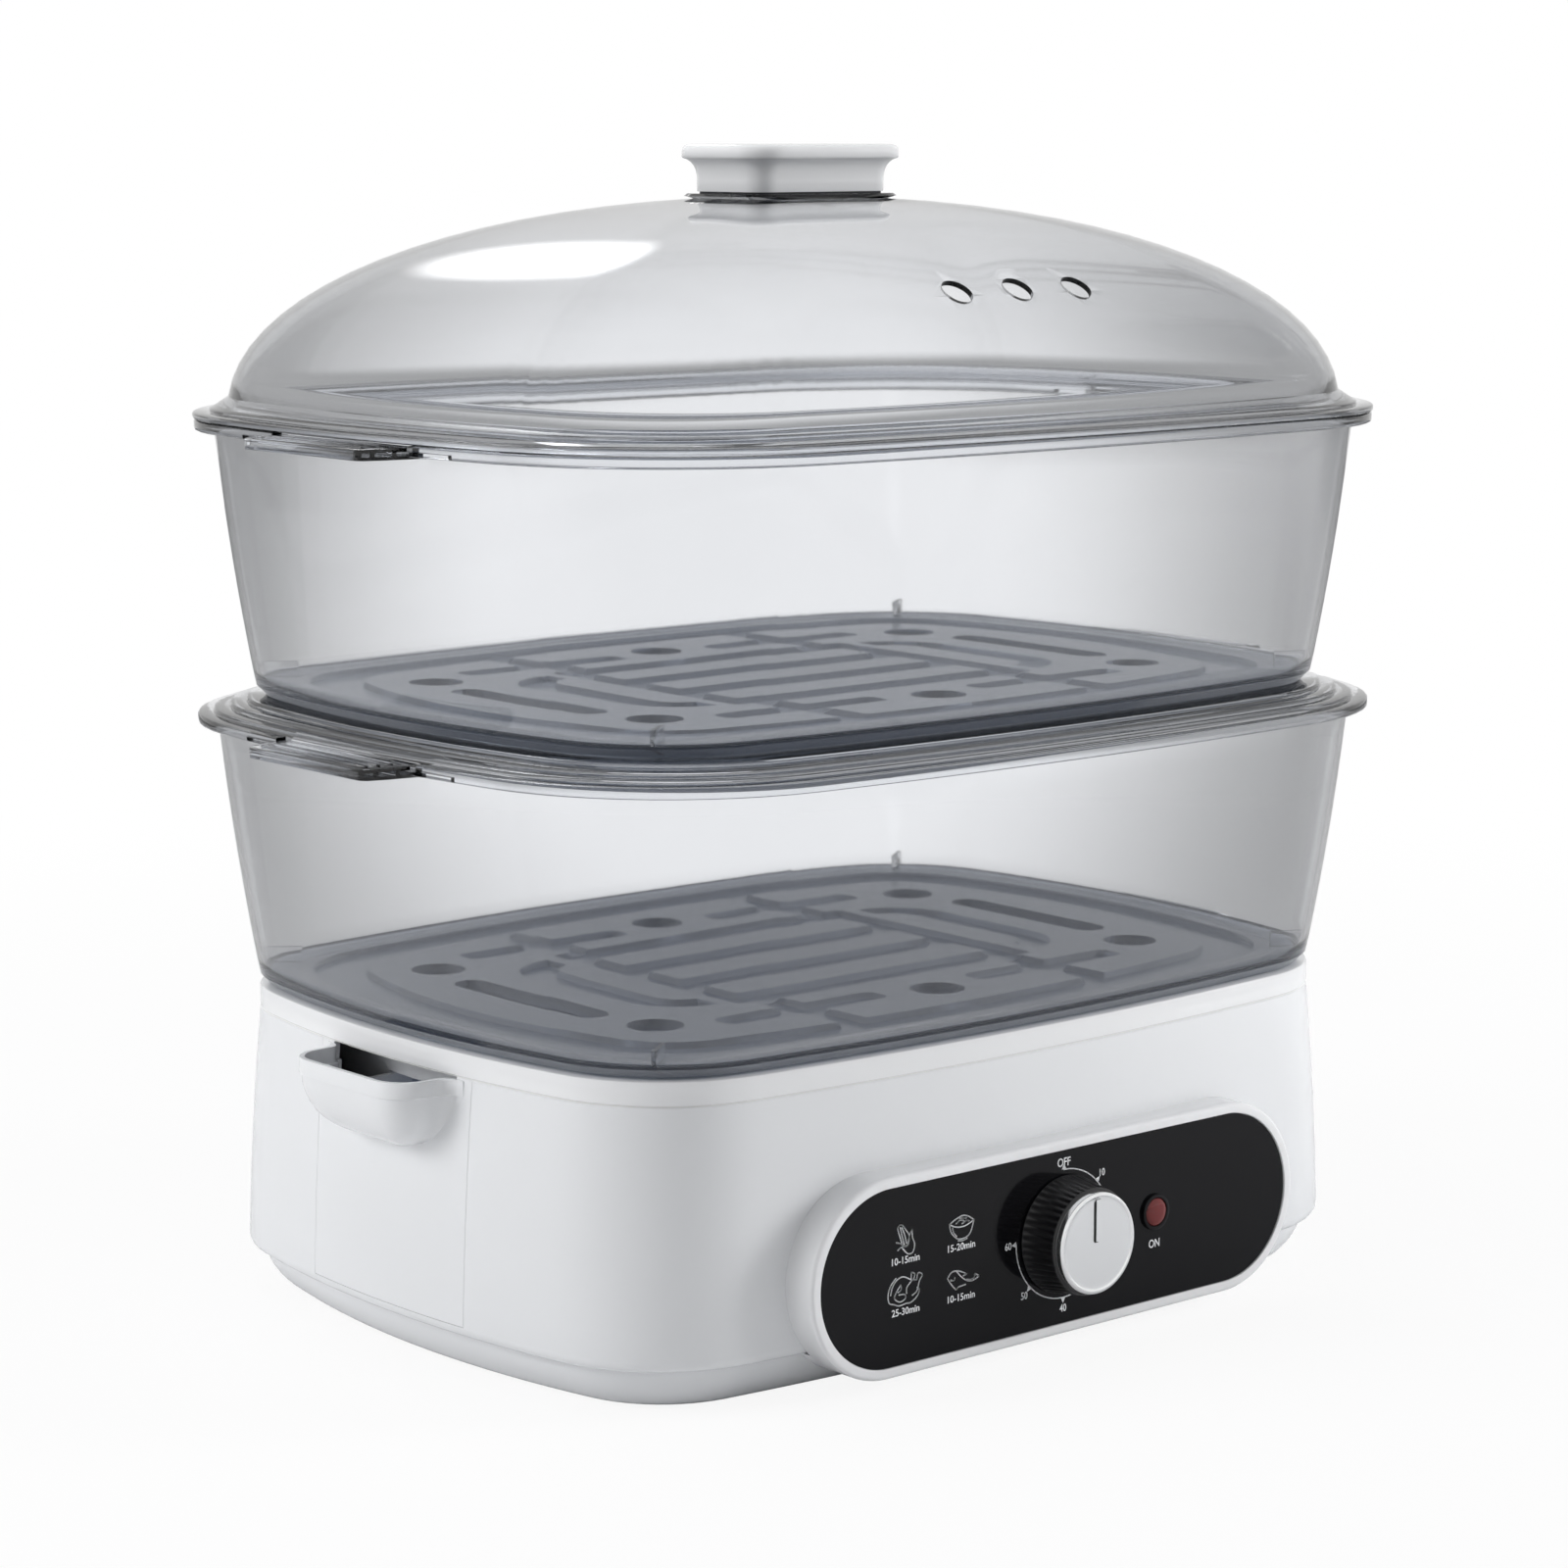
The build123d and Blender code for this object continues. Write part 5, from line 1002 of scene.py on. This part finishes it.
def lettering(words, x, y, height, width=None):
    clearSelection()
    bpy.ops.object.text_add()
    text = bpy.context.object
    text.data.body, text.data.align_x, text.data.align_y = words, "CENTER", "CENTER"
    text.data.extrude = printing["thick"] * mm / 2
    text.data.resolution_u = 3
    text.data.offset = printing["weight"]
    bpy.ops.object.convert(target="MESH")
    size = text.dimensions
    tall = height * mm / size.y
    wide = width * mm / size.x if width else tall * printing["narrow"]
    text.scale = (wide, tall, 1)
    settle(text)
    xs, ys = [v.co.x for v in text.data.vertices], [v.co.y for v in text.data.vertices]
    middle = (min(xs) + max(xs)) / 2, (min(ys) + max(ys)) / 2
    text.location = (x * mm - middle[0], y * mm - middle[1], (printLow + printHigh) / 2 * mm)
    inked.append(settle(text))


def onDial(radius, turn):
    return radius * math.sin(math.radians(turn)), radius * math.cos(math.radians(turn))


ribbon([onDial(printing["arc"], turn) for turn in range(0, 271, 6)], printing["line"])
for mark, words in enumerate(("OFF", "10", "20", "30", "40", "50", "60")):
    turn = mark * 45
    tipAt, rootAt, spread = printing["tick"]
    tick = [onDial(rootAt, turn - spread), onDial(tipAt, turn), onDial(rootAt, turn + spread)]
    inked.append(block(tick, printLow, printHigh, "tick"))
    if mark == 0:
        lettering(words, *onDial(printing["offAt"], turn), *printing["off"])
    else:
        lettering(words, *onDial(printing["digitAt"], turn), printing["digit"])
lettering("ON", lamp["x"], printing["onDrop"], printing["on"])
# pen strokes of the food drawings, about their own middle
foods = {
    "corn": [
        [(-3.0, 6.0), (-3.9, 4.8), (-2.9, 1.6), (-1.4, -1.9), (0.9, -2.3), (1.5, 1.3), (-0.2, 3.9),
         (-1.6, 5.6), (-3.0, 6.0)],
        [(-2.7, 4.9), (-1.9, 2.0), (-0.8, -1.6)], [(-1.9, 4.8), (-0.6, 2.0), (0.3, -1.4)],
        [(2.9, 3.3), (1.8, 1.6), (0.9, -2.0)],
        [(2.9, 3.3), (3.2, 0.2), (4.2, -2.4), (3.4, -5.3), (0.9, -5.5), (-2.1, -2.5)],
        [(0.9, -2.3), (-2.1, -2.5), (-3.8, -3.4)], [(-4.5, -0.4), (-2.9, -0.9), (-1.4, -1.9)],
    ],
    "bowl": [
        [(-6.0, 2.2), (-2.8, 0.7), (1.5, 0.4), (6.0, 1.9)],
        [(-6.0, 2.2), (-3.0, 3.6), (0.6, 4.5), (3.6, 3.6), (6.0, 1.9)],
        [(-6.0, 2.2), (-5.2, -0.8), (-3.2, -3.0), (-1.1, -4.1), (2.3, -3.9), (4.5, -2.2), (6.0, 1.9)],
        [(-1.6, -4.6), (0.5, -4.9), (2.6, -4.5)], [(-4.4, 0.6), (-3.9, -1.2), (-2.4, -2.9)],
        [(-2.6, 2.0), (-1.0, 2.9), (0.9, 2.6)], [(0.3, 1.5), (2.0, 2.3), (3.6, 2.0)],
        [(-1.0, 3.7), (0.8, 3.5), (2.2, 3.2)],
    ],
    "chicken": [
        [(-4.8, 4.6), (-7.2, 2.4), (-8.4, -0.4), (-8.0, -3.6), (-5.6, -4.6), (-3.2, -5.5), (0.2, -5.2),
         (2.6, -5.2), (5.4, -3.6), (6.6, -1.6), (5.6, -0.4)],
        [(-7.2, -1.0), (-6.3, 1.8), (-4.2, 4.0), (-1.0, 4.6), (3.0, 2.6)],
        [(3.0, 2.6), (0.6, 0.6), (0.4, -1.6)], [(2.6, 3.2), (2.8, 5.4), (4.4, 4.6), (3.6, 2.6)],
        [(5.2, 2.4), (6.0, 4.8), (8.0, 3.8), (6.6, 1.8), (5.4, -1.6), (3.2, -2.8)],
        [(3.6, 2.6), (5.2, 2.4)],
        [(-2.4, 1.9), (-4.6, -0.6), (-5.4, -2.6), (-2.6, -4.2), (0.0, -3.2), (-0.6, -1.8), (-3.2, -1.6)],
        [(-2.4, 1.9), (-2.2, 0.2), (-3.6, -0.6)],
    ],
    "fish": [
        [(-6.8, 1.2), (-5.0, 3.4), (-2.2, 3.6), (0.8, 2.4), (2.6, 1.2)],
        [(-6.8, 1.2), (-5.0, -1.6), (-2.6, -4.2), (-1.4, -3.4), (2.0, -3.0)],
        [(-2.2, 3.2), (0.2, 0.4), (3.0, -1.6), (5.6, -2.0), (8.8, -0.8)],
        [(8.8, -0.8), (6.6, 0.6), (6.4, -0.8), (4.6, -1.4), (2.6, -1.0)],
        [(-5.2, 0.2), (-3.6, -0.2), (-3.2, 0.8)], [(2.6, 1.2), (1.0, 0.9)],
    ],
}
# column, row, drop, squash and cooking time
places = {"corn": (0, 0, -0.6, 0.9, "10-15min"), "bowl": (1, 0, -1.0, 0.92, "15-20min"),
          "chicken": (0, 1, 0.0, 0.95, "25-30min"), "fish": (1, 1, -1.0, 0.82, "10-15min")}
for food, (column, row, drop, squash, words) in places.items():
    x, y = printing["columns"][column], printing["rows"][row]
    for points in foods[food]:
        placed = [(x + px * printing["widen"], y + drop + py * squash) for px, py in points]
        ribbon(flowing(placed), printing["stroke"])
    lettering(words, x, y + printing["labelDrop"], *printing["times"])
fasciaPrint = faced(joined("fasciaPrint", *inked))
wear(fasciaPrint, "print")
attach(fasciaPrint, "base")
print("printing made,", len(inked), "marks")

# studio: pale floor, white surround that fades outward in what the clear mouldings show, soft lamps
studio = {"floor": 3.0, "surround": 0.34, "floorShow": 0.9, "floorFade": (0.25, 1.1),
          "centre": (0.475, 0.645), "flatten": 0.75, "bright": 0.15, "dim": 0.40, "fade": 0.62, "glossy": 0.9}


def ramp(value, low, high, first, last):
    # eases from the first value to the last
    return value.add("MapRange", {"interpolation_type": "SMOOTHSTEP"}, {
        "Value": value, "From Min": low, "From Max": high, "To Min": first, "To Max": last})


def surroundGlow(start):
    # white to the eye, fading from the middle where it is seen through a clear moulding
    rays = start.add("LightPath")
    across = start.add("SeparateXYZ", None, {"Vector": start.add("TexCoord").pick("Window")})
    offX = across.pick("X") - studio["centre"][0]
    offY = (across.pick("Y") - studio["centre"][1]) * studio["flatten"]
    fade = ramp((offX * offX + offY * offY).root(), studio["bright"], studio["dim"], 1.0, 1 - studio["fade"])
    camera, through = rays.pick("Is Camera Ray"), rays.pick("Is Transmission Ray")
    mirrored = rays.pick("Is Glossy Ray") * (1 - camera) * (1 - through)
    return camera + through * fade + mirrored * studio["glossy"], camera + through, mirrored


clearSelection()
bpy.ops.mesh.primitive_circle_add(vertices=96, radius=studio["floor"], fill_type="NGON",
                                  location=(0, 0, -0.0002))
floor = settle(bpy.context.object, "floor")
floorLook, tree, output, place = newFinish("paleFloor")
strength, seen, mirrored = surroundGlow(place)
plain = place.add("BsdfDiffuse", None, {"Color": (0.86, 0.86, 0.865, 1)})
glow = place.add("Emission", None, {"Color": (1, 1, 1, 1), "Strength": strength})
away = place.add("VectorMath", {"operation": "LENGTH"}, {0: place}).pick("Value")
show = ramp(away, *studio["floorFade"], studio["floorShow"], 1.0)
shader = place.add("MixShader", None, {0: seen * show, 1: plain, 2: glow})
tree.links.new(shader.socket, output.inputs["Surface"])
floor.data.materials.append(floorLook)

world = bpy.data.worlds.new("studioWorld")
bpy.context.scene.world = world
world.use_nodes = True
world.node_tree.nodes.clear()
sky = Wire(world.node_tree, None)
worldOut = world.node_tree.nodes.new("ShaderNodeOutputWorld")
strength, seen, mirrored = surroundGlow(sky)
shown = sky.add("Background", None, {"Color": (1, 1, 1, 1), "Strength": strength})
soft = sky.add("Background", None, {"Color": (0.97, 0.98, 1, 1), "Strength": studio["surround"]})
sky = sky.add("MixShader", None, {0: seen + mirrored, 1: soft, 2: shown})
world.node_tree.links.new(sky.socket, worldOut.inputs["Surface"])


def softbox(name, place, aim, size, watts, mirrored=False):
    # area lamp with a bright middle and soft edges; others than the mirrored one leave no reflection
    clearSelection()
    bpy.ops.object.light_add(type="AREA", location=place)
    box = bpy.context.object
    box.name = name
    box.rotation_euler = (Vector(aim) - Vector(place)).to_track_quat("-Z", "Y").to_euler()
    box.data.shape, box.data.size, box.data.size_y = "RECTANGLE", *size
    box.data.energy = watts
    box.visible_glossy = box.visible_transmission = mirrored
    box.data.use_nodes = True
    nodes = box.data.node_tree.nodes
    start = Wire(box.data.node_tree, None)
    spot = start.add("SeparateXYZ", None, {"Vector": start.add("NewGeometry").pick("Parametric")})
    u, v = spot.pick("X") - 0.5, spot.pick("Y") - 0.5
    edge = ramp((u * u + v * v).root(), 0.12, 0.5, 2.2, 0.0)
    box.data.node_tree.links.new(edge.socket, nodes["Emission"].inputs["Strength"])


def around(azimuth, height, distance):
    # a place round the object: 0 is the front, 90 is the left
    turn = math.radians(azimuth)
    return (-distance * math.sin(turn), -distance * math.cos(turn), height)


# place, aim, size and watts
lamps = {
    "leftBox": (around(114, 0.75, 1.5), (0, 0, 0.2), (1.1, 1.3), 17),
    "rightBox": (around(-52, 0.6, 1.6), (0, 0, 0.15), (0.9, 1.1), 23),
    "topBox": ((-0.25, 0.1, 1.7), (0, 0, 0.3), (1.3, 1.1), 10),
}
for name, settings in lamps.items():
    softbox(name, *settings)
# the only lamp that shows as a highlight, at the lid's upper left
softbox("backBox", (0.50, 1.14, 1.08), (-0.127, -0.025, 0.376), (0.40, 0.46), 1.5, mirrored=True)
print("studio made")

view = {"place": (-0.98115, -1.14067, 0.42025), "turn": 40.4968, "down": 6.4969, "lens": 95.109,
        "sensor": 36, "shift": (0.0052, -0.12)}
clearSelection()
aim = (math.radians(90 - view["down"]), 0, math.radians(-view["turn"]))
bpy.ops.object.camera_add(location=view["place"], rotation=aim)
camera = bpy.context.object
camera.data.lens = view["lens"]
camera.data.sensor_width = view["sensor"]
camera.data.shift_x, camera.data.shift_y = view["shift"]
camera.data.dof.use_dof = False
bpy.context.scene.camera = camera
bpy.context.scene.view_settings.view_transform = "Standard"
print("camera set")
